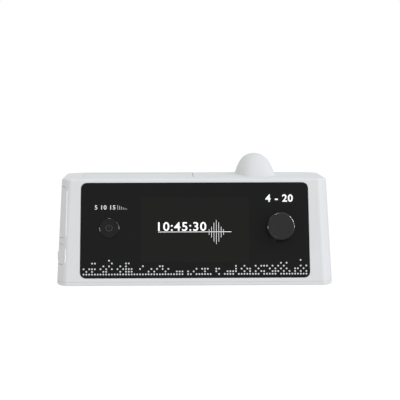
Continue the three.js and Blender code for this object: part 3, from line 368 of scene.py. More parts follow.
# a printed white legend given a painted glow, with no lamp behind it, so that it stays whiter than the ink
legendInkPaintedGlow = surface(
    "white legend ink with painted glow", ("#f4f6f6", "#fbfbfb"),
    roughness=0.5, spread=0.02, grainMm=2, bumpMm=0.001, extra=glow(0.25))
# screen-printed white ink: flat and matt, a touch uneven, and greyer where one thin coat makes the dots
printedInk = surface(
    "screen-printed white ink", ("#f4f6f6", "#fbfbfb"),
    roughness=0.6, spread=0.05, grainMm=0.5, bumpMm=0.004)
dotInk = surface(
    "screen-printed white ink, one thin coat", ("#dcdede", "#e4e6e5"),
    roughness=0.6, spread=0.05, grainMm=0.5, bumpMm=0.004)
# grey ink, thinned so that the mark on the button stays faint
thinnedInk = surface(
    "thinned grey ink", ("#454644", "#4e4f4d"),
    roughness=0.55, spread=0.05, grainMm=0.5, bumpMm=0.004)
# fine-grained ABS of the knob: an even charcoal whose rounded rims catch the light
satinBlackAbs = surface(
    "moulded ABS, satin charcoal", ("#0b0c0a", "#0d0e0c"), ior=iorOf["abs"],
    roughness=0.16, spread=0.02, grainMm=0.7, bumpMm=0.002, extra={"Specular IOR Level": 0.35})
# gloss ABS of the button: a shade off the panel, with a fine bright rim
glossBlackAbs = surface(
    "moulded ABS, gloss black", ("#060606", "#080807"), ior=iorOf["abs"],
    roughness=0.12, spread=0.02, grainMm=1.5, bumpMm=0.001, extra={"Specular IOR Level": 0.17})
# plain moulded ABS inside the machine and at its ports: matt, so that no edge shines
darkAbs = surface(
    "moulded ABS, matt black", ("#1a1a1b", "#202021"), ior=iorOf["abs"],
    roughness=0.5, spread=0.06, grainMm=0.8, bumpMm=0.02)
greyAbs = surface(
    "moulded ABS, matt grey", ("#a3a8ac", "#adb2b6"), ior=iorOf["abs"],
    roughness=0.5, spread=0.06, grainMm=0.8, bumpMm=0.02)
# moulded silicone: dull, with hardly any sheen
greyRubber = surface(
    "moulded silicone rubber, grey", ("#55585b", "#5e6164"), ior=iorOf["silicone"],
    roughness=0.75, spread=0.08, grainMm=0.6, bumpMm=0.03)
# open-cell foams: a coarse bump for the cells, and no shine
paleFoam = surface(
    "polyester filter foam, open-cell", ("#cfd6da", "#eef2f4"),
    roughness=0.95, spread=0.03, grainMm=0.7, bumpMm=0.5, toneMm=1.2)
darkFoam = surface(
    "melamine foam, charcoal", ("#2f3134", "#46494d"),
    roughness=0.95, spread=0.03, grainMm=0.8, bumpMm=0.5, toneMm=1.5)
# injection-moulded polycarbonate: clear and glossy, with a faint blue tint
clearPolycarbonate = surface(
    "injection-moulded clear polycarbonate", ("#dbe6ec", "#e3edf2"), ior=iorOf["polycarbonate"],
    roughness=0.07, spread=0.02, grainMm=14, bumpMm=0.01, extra={"Transmission Weight": 0.85})
# brushed and machined metals: fine tool marks spread their highlights
brushedSteel = surface(
    "brushed stainless steel", ("#b3b6b9", "#c0c3c6"),
    roughness=0.3, spread=0.08, grainMm=0.4, bumpMm=0.004, metallic=1.0)
machinedAluminium = surface(
    "machined aluminium", ("#c2c5c9", "#cdd0d3"),
    roughness=0.34, spread=0.08, grainMm=0.5, bumpMm=0.005, metallic=1.0)
# solder mask over a woven board: deep green, half glossy
solderMask = surface(
    "glass-fibre board, green solder mask", ("#1d5a38", "#246642"),
    roughness=0.4, spread=0.06, grainMm=1.2, bumpMm=0.02)
print("materials made")


# the casing, before it is parted

footLift = 0.4         # the base starts this much above its solid
case = {
    "width": 276.8, "taper": 4.8, "depth": 146, "top": 106, "lean": 12, "rearLean": 2,
    "cornerWidth": 11.5, "cornerDepth": 26, "rearCorner": 24, "edge": 2.4, "footEdge": 1.5, "edgeSteps": 5,
    "wall": 2.6, "frontWall": 4, "seam": 14, "coverSeam": 102.5,
    "foot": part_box("base_plate")[0].z / mm + footLift, "parting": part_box("rear_housing")[0].z / mm - gap,
}
parting = case["parting"]
coverUnderside = case["top"] - case["wall"]
lean = math.radians(case["lean"])
rearLean = math.radians(case["rearLean"])
sideSlope = case["taper"] / case["top"]


# a point drawn across and up the leaning screen side, w inwards from it
def onFace(u, v, w):
    y = -case["depth"] / 2 + v * math.sin(lean) + w * math.cos(lean)
    return (u, y, v * math.cos(lean) - w * math.sin(lean))


def halfWidthAt(height):
    return case["width"] / 2 - height * sideSlope


def frontAt(height):
    return -case["depth"] / 2 + height * math.tan(lean)


# plan of the casing at its foot: elliptical front corners, round rear ones
def caseOutline(sideInset, frontInset):
    half = case["width"] / 2 - sideInset
    front = -case["depth"] / 2 + frontInset
    rear = case["depth"] / 2 - sideInset
    across, inwards = case["cornerWidth"] - sideInset, case["cornerDepth"] - frontInset
    curve = case["rearCorner"] - sideInset
    right = arc(half - across, front + inwards, across, inwards, -90, 0, steps=16)
    right += arc(half - curve, rear - curve, curve, curve, 0, 90, steps=12)
    return right + [(-x, y) for x, y in reversed(right)]


# one level of the casing: the front leans back, the sides and the rear draw in
def caseRing(sideInset, frontInset, z):
    half = case["depth"] / 2
    share = 1 - z * (math.tan(lean) + math.tan(rearLean)) / case["depth"]
    narrow = 1 - 2 * z * sideSlope / case["width"]
    outline = caseOutline(sideInset, frontInset)
    return [(x * narrow, half - z * math.tan(rearLean) - (half - y) * share, z) for x, y in outline]


def caseForm(sideInset, frontInset, low, high, lowEdge=0, highEdge=0):
    turns = quarterTurns(case["edgeSteps"])
    levels = [(lowEdge * (1 - math.cos(t)), low + lowEdge * (1 - math.sin(t)))
              for t in (reversed(turns) if lowEdge else turns[-1:])]
    levels += [(highEdge * (1 - math.cos(t)), high - highEdge * (1 - math.sin(t)))
               for t in (turns if highEdge else turns[:1])]
    return loft([caseRing(sideInset + inset, frontInset + inset, z) for inset, z in levels])


doors = {
    "filter": {"foot": 48, "head": 98, "rear": 14},
    "card": {"foot": 21.9, "head": 41.4, "rear": -20},
}
door = {"thickness": 2, "edge": 0.9, "front": 2.5, "radius": 4, "barrel": 2, "hingeGap": 1, "pin": 1,
        "ledge": 3.5, "ledgeThickness": 3.1,
        "beadRadius": 0.36, "beadEnd": 4, "beadFoot": 0.75, "beadSlope": 0.0105}


# a side door's outline, grown all round and driven through the left side
def doorPrism(size, grow):
    low, high = size["foot"] - grow, size["head"] + grow
    rear = size["rear"] + grow
    radius = door["radius"] + min(grow, door["radius"] / 2)
    outline = roundedOutline([
        (frontAt(low) + door["front"] - grow, low, radius), (rear, low, gap),
        (rear, high, gap), (frontAt(high) + door["front"] - grow, high, radius)])
    return plate(outline, -case["width"] / 2 - reach, -case["width"] / 2 + reach, onSide)


# a rod on a door's hinge line, which follows the slope of the side
def hingeRod(size, radius, low, high):
    inwards = door["barrel"] / math.cos(math.atan(sideSlope))

    def at(height):
        x = -halfWidthAt(size["foot"]) + inwards + (height - size["foot"]) * sideSlope
        return (x, size["rear"], height)

    return rod(at(low), at(high), radius, sides=28)


def doorRecess(size):
    inset = door["thickness"] + gap
    room = cut(doorPrism(size, doorSeam), caseForm(inset, inset, -reach, coverUnderside))
    slot = hingeRod(size, door["barrel"] + door["hingeGap"], size["foot"] - doorGap, size["head"] + doorGap)
    return join(room, slot)


# a frame inside the wall, which a door closes on
def doorLedge(size):
    half = case["wall"] / 2
    inset = case["wall"] + door["ledgeThickness"]
    ring = caseForm(half, half, parting, coverUnderside)
    ring = cut(ring, caseForm(inset, inset, parting, coverUnderside))
    return common(ring, doorPrism(size, door["ledge"]))


panel = {"width": 228.5, "foot": 9, "head": 104.37, "thickness": 2, "radius": 6.8, "taper": 0.9, "edge": 0.35}
screen = {"width": 108, "height": 64.8, "middle": 57.07, "margin": 1, "play": 0.01}
# the knob is right of the middle, the button left of it; each has a hole in the panel and room behind it
controls = {"x": 85.4, "up": 59.164, "knobHole": 5.2, "knobRoom": 8, "buttonHole": 10.3, "buttonRoom": 12}
vents = {"count": 8, "first": 40, "pitch": 6, "width": 2.4, "foot": 28, "height": 18}
outlet = {"x": 65.9, "height": 108.5, "cup": 17, "cupEdge": 0.5, "bore": 15.5, "front": 43, "bulkhead": 3,
          "spigot": 9.8, "flange": 14, "flangeThickness": 2, "flangeEdge": 0.2, "base": 11.2, "tip": 10.9,
          "tipEdge": 0.4, "length": 20, "hole": 8.8, "holeEdge": 0.5}
jack = {"x": 100, "up": 19.4, "hole": 4.5}
screws = {"places": ((-131, -20), (-131, 48), (131, -20), (131, 48)), "head": 3.1, "headDepth": 2,
          "shank": 1.8, "boss": 4.6, "bossHeight": 22, "bossSink": 1}


# the panel narrows a little towards its head
def panelOutline(inset):
    half = panel["width"] / 2 - inset
    curve = panel["radius"] - max(inset, 0)
    low, high = panel["foot"] + inset, panel["head"] - inset
    return roundedOutline([(-half, low, curve), (half, low, curve), (half - panel["taper"], high, curve),
                           (panel["taper"] - half, high, curve)], steps=10)


# side is 1 on the right and -1 on the left
def controlHole(radius, side):
    at = (side * controls["x"], controls["up"])
    return rod(onFace(*at, -case["seam"] / 2), onFace(*at, case["seam"] / 2), radius, sides=72)


def faceCuts():
    w, h = screen["width"] / 2 + screen["margin"], screen["height"] / 2 + screen["margin"]
    window = roundedRectangle(-w, screen["middle"] - h, w, screen["middle"] + h, gap, steps=2)
    return [plate(panelOutline(-gap), -reach, panel["thickness"] + gap, onFace),
            plate(window, 0, case["seam"] / 2, onFace),
            controlHole(controls["knobRoom"], 1), controlHole(controls["buttonRoom"], -1)]


def rearCuts():
    rear = case["depth"] / 2
    slots = []
    for i in range(vents["count"]):
        x = vents["first"] + i * vents["pitch"]
        head = vents["foot"] + vents["height"]
        outline = roundedRectangle(x, vents["foot"], x + vents["width"], head, vents["width"] / 2)
        slots.append(plate(outline, rear - reach / 2, rear + reach, onRear))
    cup = rod((outlet["x"], outlet["front"], outlet["height"]),
              (outlet["x"], outlet["front"] + reach, outlet["height"]), outlet["cup"] + gap, sides=72)
    hole = rod((jack["x"], rear - reach / 2, jack["up"]), (jack["x"], rear + reach, jack["up"]),
               jack["hole"], sides=48)
    return [cup, hole, *slots]


# a slice of everything between two heights
def layer(low, high):
    return block((-case["width"], -case["depth"], low), (case["width"], case["depth"], high))


# everything ahead of the seam between the front and the rear housing, pushed back by setback
def aheadOfSeam(setback):
    corners = rectangle(-case["width"], -case["top"], case["width"], 2 * case["top"])
    return plate(corners, -case["depth"], case["seam"] - setback, onFace)


outer = caseForm(0, 0, case["foot"], case["top"], case["footEdge"], case["edge"])
skin = skinOf(outer)
shell = cut(twin(outer), caseForm(case["wall"], case["frontWall"], parting, coverUnderside))
shell = join(shell, *(doorLedge(size) for size in doors.values()))
bosses = uprightRods(screws["places"], parting - screws["bossSink"], parting + screws["bossHeight"],
                     screws["boss"], sides=24)
shell = join(shell, *bosses)
shell = common(shell, twin(outer))
shell = cut(shell, *(doorPrism(size, -door["ledge"]) for size in doors.values()),
            *(doorRecess(size) for size in doors.values()), *faceCuts(), *rearCuts())
print("casing made", len(shell.data.vertices))

housingEdge = 0.4       # rounding of the shells' parting edges
seamGap = 0.1           # the base closes tight under both housings
frontHousing = common(twin(shell), layer(parting + seamGap, 2 * case["top"]), aheadOfSeam(0))
soften(frontHousing, skin, housingEdge)
keepPiece(frontHousing, "front_shell", mouldedAbs, stands=["front_housing"])

rearHousing = common(twin(shell), layer(parting + seamGap, case["coverSeam"] - gap))
rearHousing = cut(rearHousing, aheadOfSeam(-gap))
soften(rearHousing, skin, housingEdge)
keepPiece(rearHousing, "rear_shell", mouldedAbs, stands=["rear_housing"])

foot = {"radius": 7, "seat": 1.8, "edge": 0.5, "places": [(x, y) for x in (-110, 110) for y in (-52, 56)]}
basePlate = common(twin(shell), layer(case["foot"], parting))
headTop = case["foot"] + screws["headDepth"]
basePlate = cut(basePlate,
                *uprightRods(foot["places"], 0, case["foot"] + foot["seat"], foot["radius"] + gap, sides=48),
                *uprightRods(screws["places"], 0, headTop, screws["head"], sides=32),
                *uprightRods(screws["places"], 0, reach, screws["shank"], sides=24))
soften(basePlate, skin, housingEdge)
keepPiece(basePlate, "base_shell", mouldedAbs, stands=["base_plate"])
print("housings made")


# top cover, cowl and lid

cowl = {"tip": -35.56, "nose": 85, "rear": 68.6, "halfWidth": 20.1, "rise": 20.7, "tuck": 0.28, "wall": 2.5,
        "hollowSetback": 5, "hollowFront": 15.2, "fillet": 0.09, "rim": 0.8, "sink": 0.03,
        "leastSize": 0.02, "leastShare": 0.0004, "crowding": 1.5}
lid = {"left": -113, "right": -0.7, "front": -32.96, "hinge": 54, "radius": 18, "barrel": 2.6,
       "hingeGap": 1.5, "pin": 1.2, "lugWidth": 5, "lugReach": 4, "lugDrop": 5}


# the cowl is narrower halfway up than an oval: up is the sine of the turn
def tucked(up):
    return 1 - cowl["tuck"] * up * (1 - up)


# one section of the cowl: a tucked half oval on small fillets, closed below under the cover
def cowlSection(y, halfWidth, rise, inset=0.0):
    halfWidth, rise = max(halfWidth - inset, cowl["leastSize"]), max(rise - inset, cowl["leastSize"])
    flare, sideSteps, toeSteps = cowl["fillet"], 20, 5
    first = math.asin(flare)
    turns = [first + (math.pi / 2 - first) * k / sideSteps for k in range(sideSteps + 1)]
    side = [(math.cos(t) * tucked(math.sin(t)), math.sin(t)) for t in turns]
    toe = [(1 + flare * (1 - t) ** 2 - (1 - side[0][0]) * t ** 2, flare * t ** 2)
           for t in (k / toeSteps for k in range(toeSteps))]
    right = toe + side
    profile = right + [(-x, h) for x, h in reversed(right[:-1])]
    base, height = case["top"] - cowl["sink"], rise + cowl["sink"]
    points = [(outlet["x"] + x * halfWidth, y, base + h * height) for x, h in profile]
    return points + [(points[-1][0], y, coverUnderside), (points[0][0], y, coverUnderside)]


# half width and rise grow from the tip over the length of the nose
def cowlSize(y, tip, halfWidth, rise):
    share = min(max((y - tip) / cowl["nose"], cowl["leastShare"]), 1)
    return halfWidth * math.sqrt(share * (2 - share)), rise * share * share * (3 - 2 * share)


def cowlBody():
    rings = []
    steps = 48
    for k in range(steps + 1):        # the rings crowd towards the tip
        y = cowl["tip"] + cowl["nose"] * (k / steps) ** cowl["crowding"]
        rings.append(cowlSection(y, *cowlSize(y, cowl["tip"], cowl["halfWidth"], cowl["rise"])))
    for turn in quarterTurns(steps=6):
        y = cowl["rear"] - cowl["rim"] * (1 - math.sin(turn))
        rings.append(cowlSection(y, cowl["halfWidth"], cowl["rise"], cowl["rim"] * (1 - math.cos(turn))))
    return loft(rings)


def cowlHollow():
    rings = []
    steps = 8
    for k in range(steps + 1):
        y = cowl["hollowFront"] + (outlet["front"] - cowl["hollowFront"]) * k / steps
        wide, high = cowlSize(y, cowl["tip"] + cowl["hollowSetback"], cowl["halfWidth"] - cowl["wall"],
                              cowl["rise"] - cowl["wall"])
        rings.append([(outlet["x"] + wide * x * tucked(abs(up)), y, case["top"] + high * up)
                      for x, up in circle(1, sides=64)])
    return loft(rings)


# what is turned on the outlet's axis: w runs to the rear from the front of its cup
def onOutlet(u, v, w):
    return (outlet["x"] + u, outlet["front"] + w, outlet["height"] + v)


def lidOutline(grow):
    curve = lid["radius"] + grow
    left = lid["left"] - grow / 2       # the lid closes tighter on its left, where no seam shows
    right, front = lid["right"] + grow, lid["front"] - grow
    return roundedOutline([(left, front, curve), (right, front, curve), (right, lid["hinge"], gap),
                           (left, lid["hinge"], gap)], steps=14)


def lidRod(radius, start, end):
    height = case["top"] - lid["barrel"]
    return rod((start, lid["hinge"], height), (end, lid["hinge"], height), radius, sides=32)


# the two lugs of the cover that hold the lid's pin
def lidLugs():
    lugs = []
    for left in (lid["left"] - doorGap - lid["lugWidth"], lid["right"] + doorGap):
        low = (left, lid["hinge"] - lid["lugReach"], coverUnderside - lid["lugDrop"])
        high = (left + lid["lugWidth"], lid["hinge"] + lid["lugReach"], case["top"] - case["wall"] / 2)
        lugs.append(block(low, high))
    return lugs


# what is cut out of the cover for the hose, the lid and its pin
def coverRooms(deep):
    rim = [(outlet["bore"] + cowl["rim"] * (1 - math.cos(t)), deep - cowl["rim"] * (1 - math.sin(t)))
           for t in quarterTurns(steps=5)]
    bulkhead, spigot = outlet["bulkhead"], outlet["spigot"] + gap
    bore = [(0, bulkhead), (outlet["bore"], bulkhead), *rim, (rim[-1][0], reach), (0, reach)]
    return [
        turned(bore, onOutlet), turned([(0, -gap), (spigot, -gap), (spigot, reach), (0, reach)], onOutlet),
        plate(lidOutline(doorGap), case["coverSeam"] - reach, case["top"] + reach),
        lidRod(lid["barrel"] + lid["hingeGap"], lid["left"] - doorGap, lid["right"] + doorGap),
        lidRod(lid["pin"] + pinGap, lid["left"] - lid["lugWidth"], lid["right"] + lid["lugWidth"])]


def topCover():
    body = cut(common(twin(shell), layer(case["coverSeam"], 2 * case["top"])), aheadOfSeam(-gap))
    raisedPart = cowlBody()
    coverSkin = skinOf(outer, raisedPart)
    body = join(body, raisedPart)
    body = cut(body, cowlHollow())
    deep = cowl["rear"] - outlet["front"]
    cup, edge = outlet["cup"], outlet["cupEdge"]
    cupProfile = [(0, 0), (cup, 0), (cup, deep - edge), (cup - 0.3 * edge, deep - 0.3 * edge),
                  (cup - edge, deep), (0, deep)]
    body = join(body, turned(cupProfile, onOutlet), *lidLugs())
    body = cut(body, *coverRooms(deep))
    soften(body, coverSkin, housingEdge)
    return keepPiece(body, "top_shell", mouldedAbs, stands=["top_cover"], sharpFrom=38)


topCover()

tankLid = plate(lidOutline(0), coverUnderside, case["top"])
tankLid = join(tankLid, lidRod(lid["barrel"], lid["left"], lid["right"]))
tankLid = cut(tankLid, lidRod(lid["pin"] + pinGap, lid["left"] - reach, lid["right"] + reach))
soften(tankLid, skin, housingEdge)
keepPiece(tankLid, "tank_lid_shell", mouldedAbs, "tank_lid", ["tank_lid"])
print("cover and lid made")


# side doors

# a fine bead on the casing along a side door's front edge, which catches the light
def doorBead(size):
    def at(height):
        share = (case["depth"] / 2 - height * math.tan(rearLean) - frontAt(height)) / case["depth"]
        inwards = door["beadFoot"] + door["beadSlope"] * height
        corner = 1 - inwards / (case["cornerDepth"] * share)
        across = case["width"] / 2 - case["cornerWidth"] * (1 - math.sqrt(1 - corner ** 2))
        narrow = 1 - 2 * height * sideSlope / case["width"]
        return (-across * narrow, frontAt(height) + inwards, height)

    low, high = at(size["foot"] + door["beadEnd"] / 2), at(size["head"] - door["beadEnd"])
    return rod(low, high, door["beadRadius"], sides=16)


def sideDoor(name, size, *extras):
    inset = door["thickness"]
    leaf = cut(caseForm(0, 0, -reach, case["top"]), caseForm(inset, inset, -reach, case["top"]))
    leaf = common(leaf, doorPrism(size, 0))
    body = join(leaf, hingeRod(size, door["barrel"], size["foot"], size["head"]), *extras)
    body = cut(body, hingeRod(size, door["pin"] + pinGap, size["foot"] - reach, size["head"] + reach))
    soften(body, skin, door["edge"])
    keepPiece(doorBead(size), name + "_bead", mouldedAbs)
    return keepPiece(body, name + "_leaf", mouldedAbs, name, [name])


# a small upright ridge on the card door, for a fingertip
def fingerRidge():
    ridge = {"radius": 1.1, "length": 9.5, "height": 27.5, "back": 16}
    x, y = -halfWidthAt(ridge["height"]), doors["card"]["rear"] - ridge["back"]

    def at(u, v, w):
        return (x + u, y + v, ridge["height"] + w)

    end = ridge["length"] / 2
    cap = [(ridge["radius"] * math.cos(t), end - ridge["radius"] * (1 - math.sin(t)))
           for t in quarterTurns(steps=5)]
    return turned([(r, -h) for r, h in reversed(cap)] + cap, at, sides=24)


sideDoor("filter_door", doors["filter"])
sideDoor("card_door", doors["card"], fingerRidge())
print("side doors made")


# front panel, screen and printed marks

# the panel's sheet, from its flat rear to the rounded edge of its face
def panelSheet():
    edge = panel["edge"]
    rings = [[onFace(u, v, panel["thickness"]) for u, v in panelOutline(0)]]
    for turn in quarterTurns(steps=4):
        outline = panelOutline(edge * (1 - math.cos(turn)))
        rings.append([onFace(u, v, edge * (1 - math.sin(turn))) for u, v in outline])
    return loft(rings)


def screenOutline(grow):
    w, h = screen["width"] / 2 + grow, screen["height"] / 2 + grow
    return rectangle(-w, screen["middle"] - h, w, screen["middle"] + h)


frontPanel = cut(panelSheet(), controlHole(controls["knobHole"], 1), controlHole(controls["buttonHole"], -1),
                 plate(screenOutline(0), -reach, reach, onFace))
keepPiece(frontPanel, "panel_glass", printedAcrylic, stands=["front_panel"])
screenGlass = plate(screenOutline(-screen["play"]), 0, panel["thickness"], onFace)
keepPiece(screenGlass, "screen_glass", displayAcrylic)
print("panel made")


# thin marks on the panel: each stands as far off the face as a coat of ink

ink = {"coat": 0.04, "sink": 0.01}
typeface = {"spacing": 1.12, "curveSteps": 5}


def joinedPiece(parts, name, finish, rides="machine"):
    body, *others = parts
    shape = bmesh.new()
    for part in parts:
        shape.from_mesh(part.data)
    shape.to_mesh(body.data)
    shape.free()
    discard(*others)
    return keepPiece(body, name, finish, rides)


def mark(outline, place=onFace):
    return plate(outline, ink["sink"], -ink["coat"], place)


def strip(left, foot, right, head):
    return mark(rectangle(left, foot, right, head))


# a band of even width along a row of points
def band(points, width):
    sides = [[], []]
    for i, (x, y) in enumerate(points):
        before, after = Vector(points[max(i - 1, 0)]), Vector(points[min(i + 1, len(points) - 1)])
        along = (after - before).normalized()
        for side, way in zip(sides, (-1, 1)):
            side.append((x - along.y * way * width / 2, y + along.x * way * width / 2))
    return sides[0] + sides[1][::-1]


# figures from the built-in type, fitted to a width and a height on the face; weight thickens the strokes
def figures(words, left, foot, width, height, weight):
    curve = bpy.data.curves.new("figures", "FONT")
    curve.body = words
    curve.size = height
    curve.offset = weight
    curve.space_character = typeface["spacing"]
    curve.extrude = (ink["coat"] + ink["sink"]) / 2
    curve.resolution_u = typeface["curveSteps"]
    holder = bpy.data.objects.new("figures", curve)
    scene.collection.objects.link(holder)
    depsgraph = bpy.context.evaluated_depsgraph_get()
    mesh = bpy.data.meshes.new_from_object(holder.evaluated_get(depsgraph), depsgraph=depsgraph)
    bpy.data.curves.remove(curve)
    low, high = ([pick(v.co[k] for v in mesh.vertices) for k in (0, 1)] for pick in (min, max))
    for v in mesh.vertices:
        across, up = ((v.co[k] - low[k]) / (high[k] - low[k]) for k in (0, 1))
        v.co = onFace(left + across * width, foot + up * height, -v.co.z - (ink["coat"] - ink["sink"]) / 2)
    body = bpy.data.objects.new("figures", mesh)
    scene.collection.objects.link(body)
    return body


# the band of dots: full at the foot, thinner upwards, denser near the two ends, and set like a chequer
def dotBand():
    dots = {"columns": 80, "left": -110.7, "pitch": 2.802, "rows": (12.7, 15.4, 18.0, 20.75, 23.6, 26.4),
            "radius": 0.86, "sides": 14, "share": (0.88, 0.52, 0.38, 0.27, 0.09, 0.05), "thin": 0.4,
            "chequer": 0.6, "seed": 41}
    humps = ((-82, 36, 1.25), (72, 40, 0.7))      # where the dots climb higher, how widely and how much
    chance = random.Random(dots["seed"])
    rings = []
    for column in range(dots["columns"]):
        u = dots["left"] + column * dots["pitch"]
        climb = dots["thin"] + sum(more * math.exp(-((u - middle) / width) ** 2)
                                   for middle, width, more in humps)
        for row, v in enumerate(dots["rows"]):
            share = dots["share"][row]
            if row:
                way = 1 if (row + column) % 2 == 0 else -1
                share *= (climb if row > 1 else 1) * (1 + way * dots["chequer"])
            if chance.random() < share:
                rings.append(circle(dots["radius"], dots["sides"], u, v))
    print("dots", len(rings))
    return joinedPiece([mark(ring) for ring in rings], "printed_dots", dotInk)


dotBand()

rangeLegend = {"words": "4 - 20", "left": 70.7, "foot": 84.8, "width": 27.5, "height": 7.6, "weight": 0.2}
# the range legend is white ink with a painted glow
joinedPiece([figures(**rangeLegend)], "printed_range", legendInkPaintedGlow)


# the small scale over the button: plain numbers, and a few fine ticks beside them
def smallScale():
    numbers = {"words": "5 10 15", "left": -99.7, "foot": 77.6, "width": 20.5, "height": 4.4, "weight": 0.06}
    ticks = {"left": -77, "right": -68, "count": 6, "width": 0.35}
    low = numbers["foot"]
    parts = [figures(**numbers)]
    for i in range(ticks["count"]):
        u = ticks["left"] + (ticks["right"] - ticks["left"]) * i / (ticks["count"] - 1)
        parts.append(strip(u, low, u + ticks["width"], low + numbers["height"] * (1 - i / ticks["count"])))
    return joinedPiece(parts, "printed_scale", printedInk)


smallScale()


# the screen shows a clock over a thin line, and a group of fine level bars that swells and dies away
def screenPicture():
    clock = {"words": "10:45:30", "left": -36.65, "foot": 55.9, "width": 48, "height": 8.9, "weight": 0.1}
    line = {"left": clock["left"], "right": 36.4, "foot": 54.7, "head": 55.2}
    bars = {"first": 14, "pitch": 2.4, "count": 7, "width": 0.36, "middle": 3, "least": 2, "most": 12,
            "spread": 1.9, "overLine": 0.6}
    parts = [figures(**clock), strip(line["left"], line["foot"], line["right"], line["head"])]
    for i in range(bars["count"]):
        u = bars["first"] + i * bars["pitch"]
        swell = math.exp(-((i - bars["middle"]) / bars["spread"]) ** 2)
        half = bars["least"] + (bars["most"] - bars["least"]) * swell
        parts.append(strip(u, line["foot"] + bars["overLine"] + gap, u + bars["width"], line["foot"] + half))
        parts.append(strip(u, line["foot"] - half, u + bars["width"], line["foot"] - gap))
    return joinedPiece(parts, "screen_picture", litPixels)


screenPicture()
print("marks made")


# knob and power button

def onKnob(u, v, w):
    return onFace(controls["x"] + u, controls["up"] + v, -w)


def onButton(u, v, w):
    return onFace(-controls["x"] + u, controls["up"] + v, -w)


# "face" is a shallow dish, radius against height
knob = {"radius": 14, "out": 11, "lift": 1.5, "rim": 1.9, "footEdge": 0.3,
        "face": ((0, 10.6), (4, 10.62), (8, 10.75), (10.6, 10.93), (11.6, 10.985)),
        "hollow": 12, "ceiling": 9, "hub": 5, "bore": 3.15}


def knobProfile():
    radius, lift, rim, edge = knob["radius"], knob["lift"], knob["rim"], knob["footEdge"]
    hollow, ceiling, hub, bore = knob["hollow"], knob["ceiling"], knob["hub"], knob["bore"]
    return [*knob["face"], *quarter(radius - rim, knob["out"] - rim, rim, 90, 0),
            *quarter(radius - edge, lift + edge, edge, 0, -90, steps=3), (hollow, lift), (hollow, ceiling),
            (hub, ceiling), (hub, lift), (bore, lift), (bore, ceiling), (0, ceiling)]


knobCap = turned(knobProfile(), onKnob, sides=128)
keepPiece(knobCap, "knob_cap", satinBlackAbs, "knob", ["control_knob"])

button = {"radius": 10, "proud": 0.6, "edge": 0.8, "flange": 11.4, "flangeAt": -2.5, "flangeEnd": -3.5,
          "stem": 2.2, "stemEnd": -5.5}


def buttonProfile():
    radius, proud, edge = button["radius"], button["proud"], button["edge"]
    flange, flangeAt, flangeEnd = button["flange"], button["flangeAt"], button["flangeEnd"]
    stem, stemEnd = button["stem"], button["stemEnd"]
    return [(0, proud), *quarter(radius - edge, proud - edge, edge, 90, 0), (radius, flangeAt),
            (flange, flangeAt), (flange, flangeEnd), (stem, flangeEnd), (stem, stemEnd), (0, stemEnd)]


buttonCap = turned(buttonProfile(), onButton, sides=128)
keepPiece(buttonCap, "button_cap", glossBlackAbs, "power_button", ["power_button"])


# the standby sign on the button: a broken ring and a short upright stroke
def standbySign():
    sign = {"radius": 3.1, "width": 0.4, "opening": 36, "strokeFoot": 0.4, "strokeHead": 3.7}

    def onCap(u, v, w):
        return onButton(u, v, button["proud"] - w)

    ring = arc(0, 0, sign["radius"], sign["radius"], 90 + sign["opening"], 450 - sign["opening"], steps=30)
    stroke = rectangle(-sign["width"] / 2, sign["strokeFoot"], sign["width"] / 2, sign["strokeHead"])
    parts = [mark(band(ring, sign["width"]), onCap), mark(stroke, onCap)]
    return joinedPiece(parts, "standby_sign", thinnedInk, "power_button")


standbySign()
print("knob and button made")


# air outlet and feet

# a tube with a spigot through the bulkhead, a flange behind it and a taper for the hose
def airOutlet():
    seat = outlet["bulkhead"] + gap
    back = seat + outlet["flangeThickness"]
    end = back + outlet["length"]
    flange, flangeEdge = outlet["flange"], outlet["flangeEdge"]
    tipEdge, holeEdge = outlet["tipEdge"], outlet["holeEdge"]
    # a small fillet where the taper leaves the flange
    fillet = [(outlet["base"] + out, back + along) for out, along in ((0.5, 0), (0.1, 0.15), (0, 0.6))]
    tip = [(outlet["tip"] - tipEdge * (1 - math.cos(t)), end - tipEdge + tipEdge * math.sin(t))
           for t in quarterTurns(steps=4)]
    hole = [(outlet["hole"] + holeEdge * (1 - math.sin(t)), end - holeEdge * (1 - math.cos(t)))
            for t in quarterTurns(steps=4)]
    profile = [(outlet["hole"], gap), (outlet["spigot"], gap), (outlet["spigot"], seat), (flange, seat),
               (flange, back - flangeEdge), (flange - flangeEdge, back), *fillet, *tip, *hole]
    body = turned(profile, onOutlet, sides=96, closed=True)
    return keepPiece(body, "outlet_taper", greyAbs, stands=["air_outlet"])


airOutlet()

footTop = case["foot"] + foot["seat"] - gap
footProfile = [(0, 0), *quarter(foot["radius"] - foot["edge"], foot["edge"], foot["edge"], -90, 0),
               *quarter(foot["radius"] - gap, footTop - gap, gap, 0, 90, steps=3), (0, footTop)]
for number, (x, y) in enumerate(foot["places"], 1):
    rubberFoot = turned(footProfile, lambda u, v, w: (x + u, y + v, w), sides=64)
    keepPiece(rubberFoot, f"rubber_foot_{number}", greyRubber, stands=[f"foot_{number}"])
print("outlet and feet made")


# the rest of the solids keep their own form, with fine rounded edges

fineEdge = {"weld": 0.005, "leastAngle": 38, "steps": 2}


def dress(node, material, edge):
    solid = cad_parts[node]
    solid.data.materials.clear()
    solid.data.materials.append(material)
    weld = solid.modifiers.new("weld", "WELD")
    weld.merge_threshold = fineEdge["weld"] * mm
    bevel = solid.modifiers.new("edges", "BEVEL")
    bevel.width = edge * mm
    bevel.segments = fineEdge["steps"]
    bevel.limit_method = "ANGLE"
    bevel.angle_limit = math.radians(fineEdge["leastAngle"])
    bevel.harden_normals = False
    solid.data.shade_smooth()
    normals = solid.modifiers.new("normals", "WEIGHTED_NORMAL")
    normals.keep_sharp = True


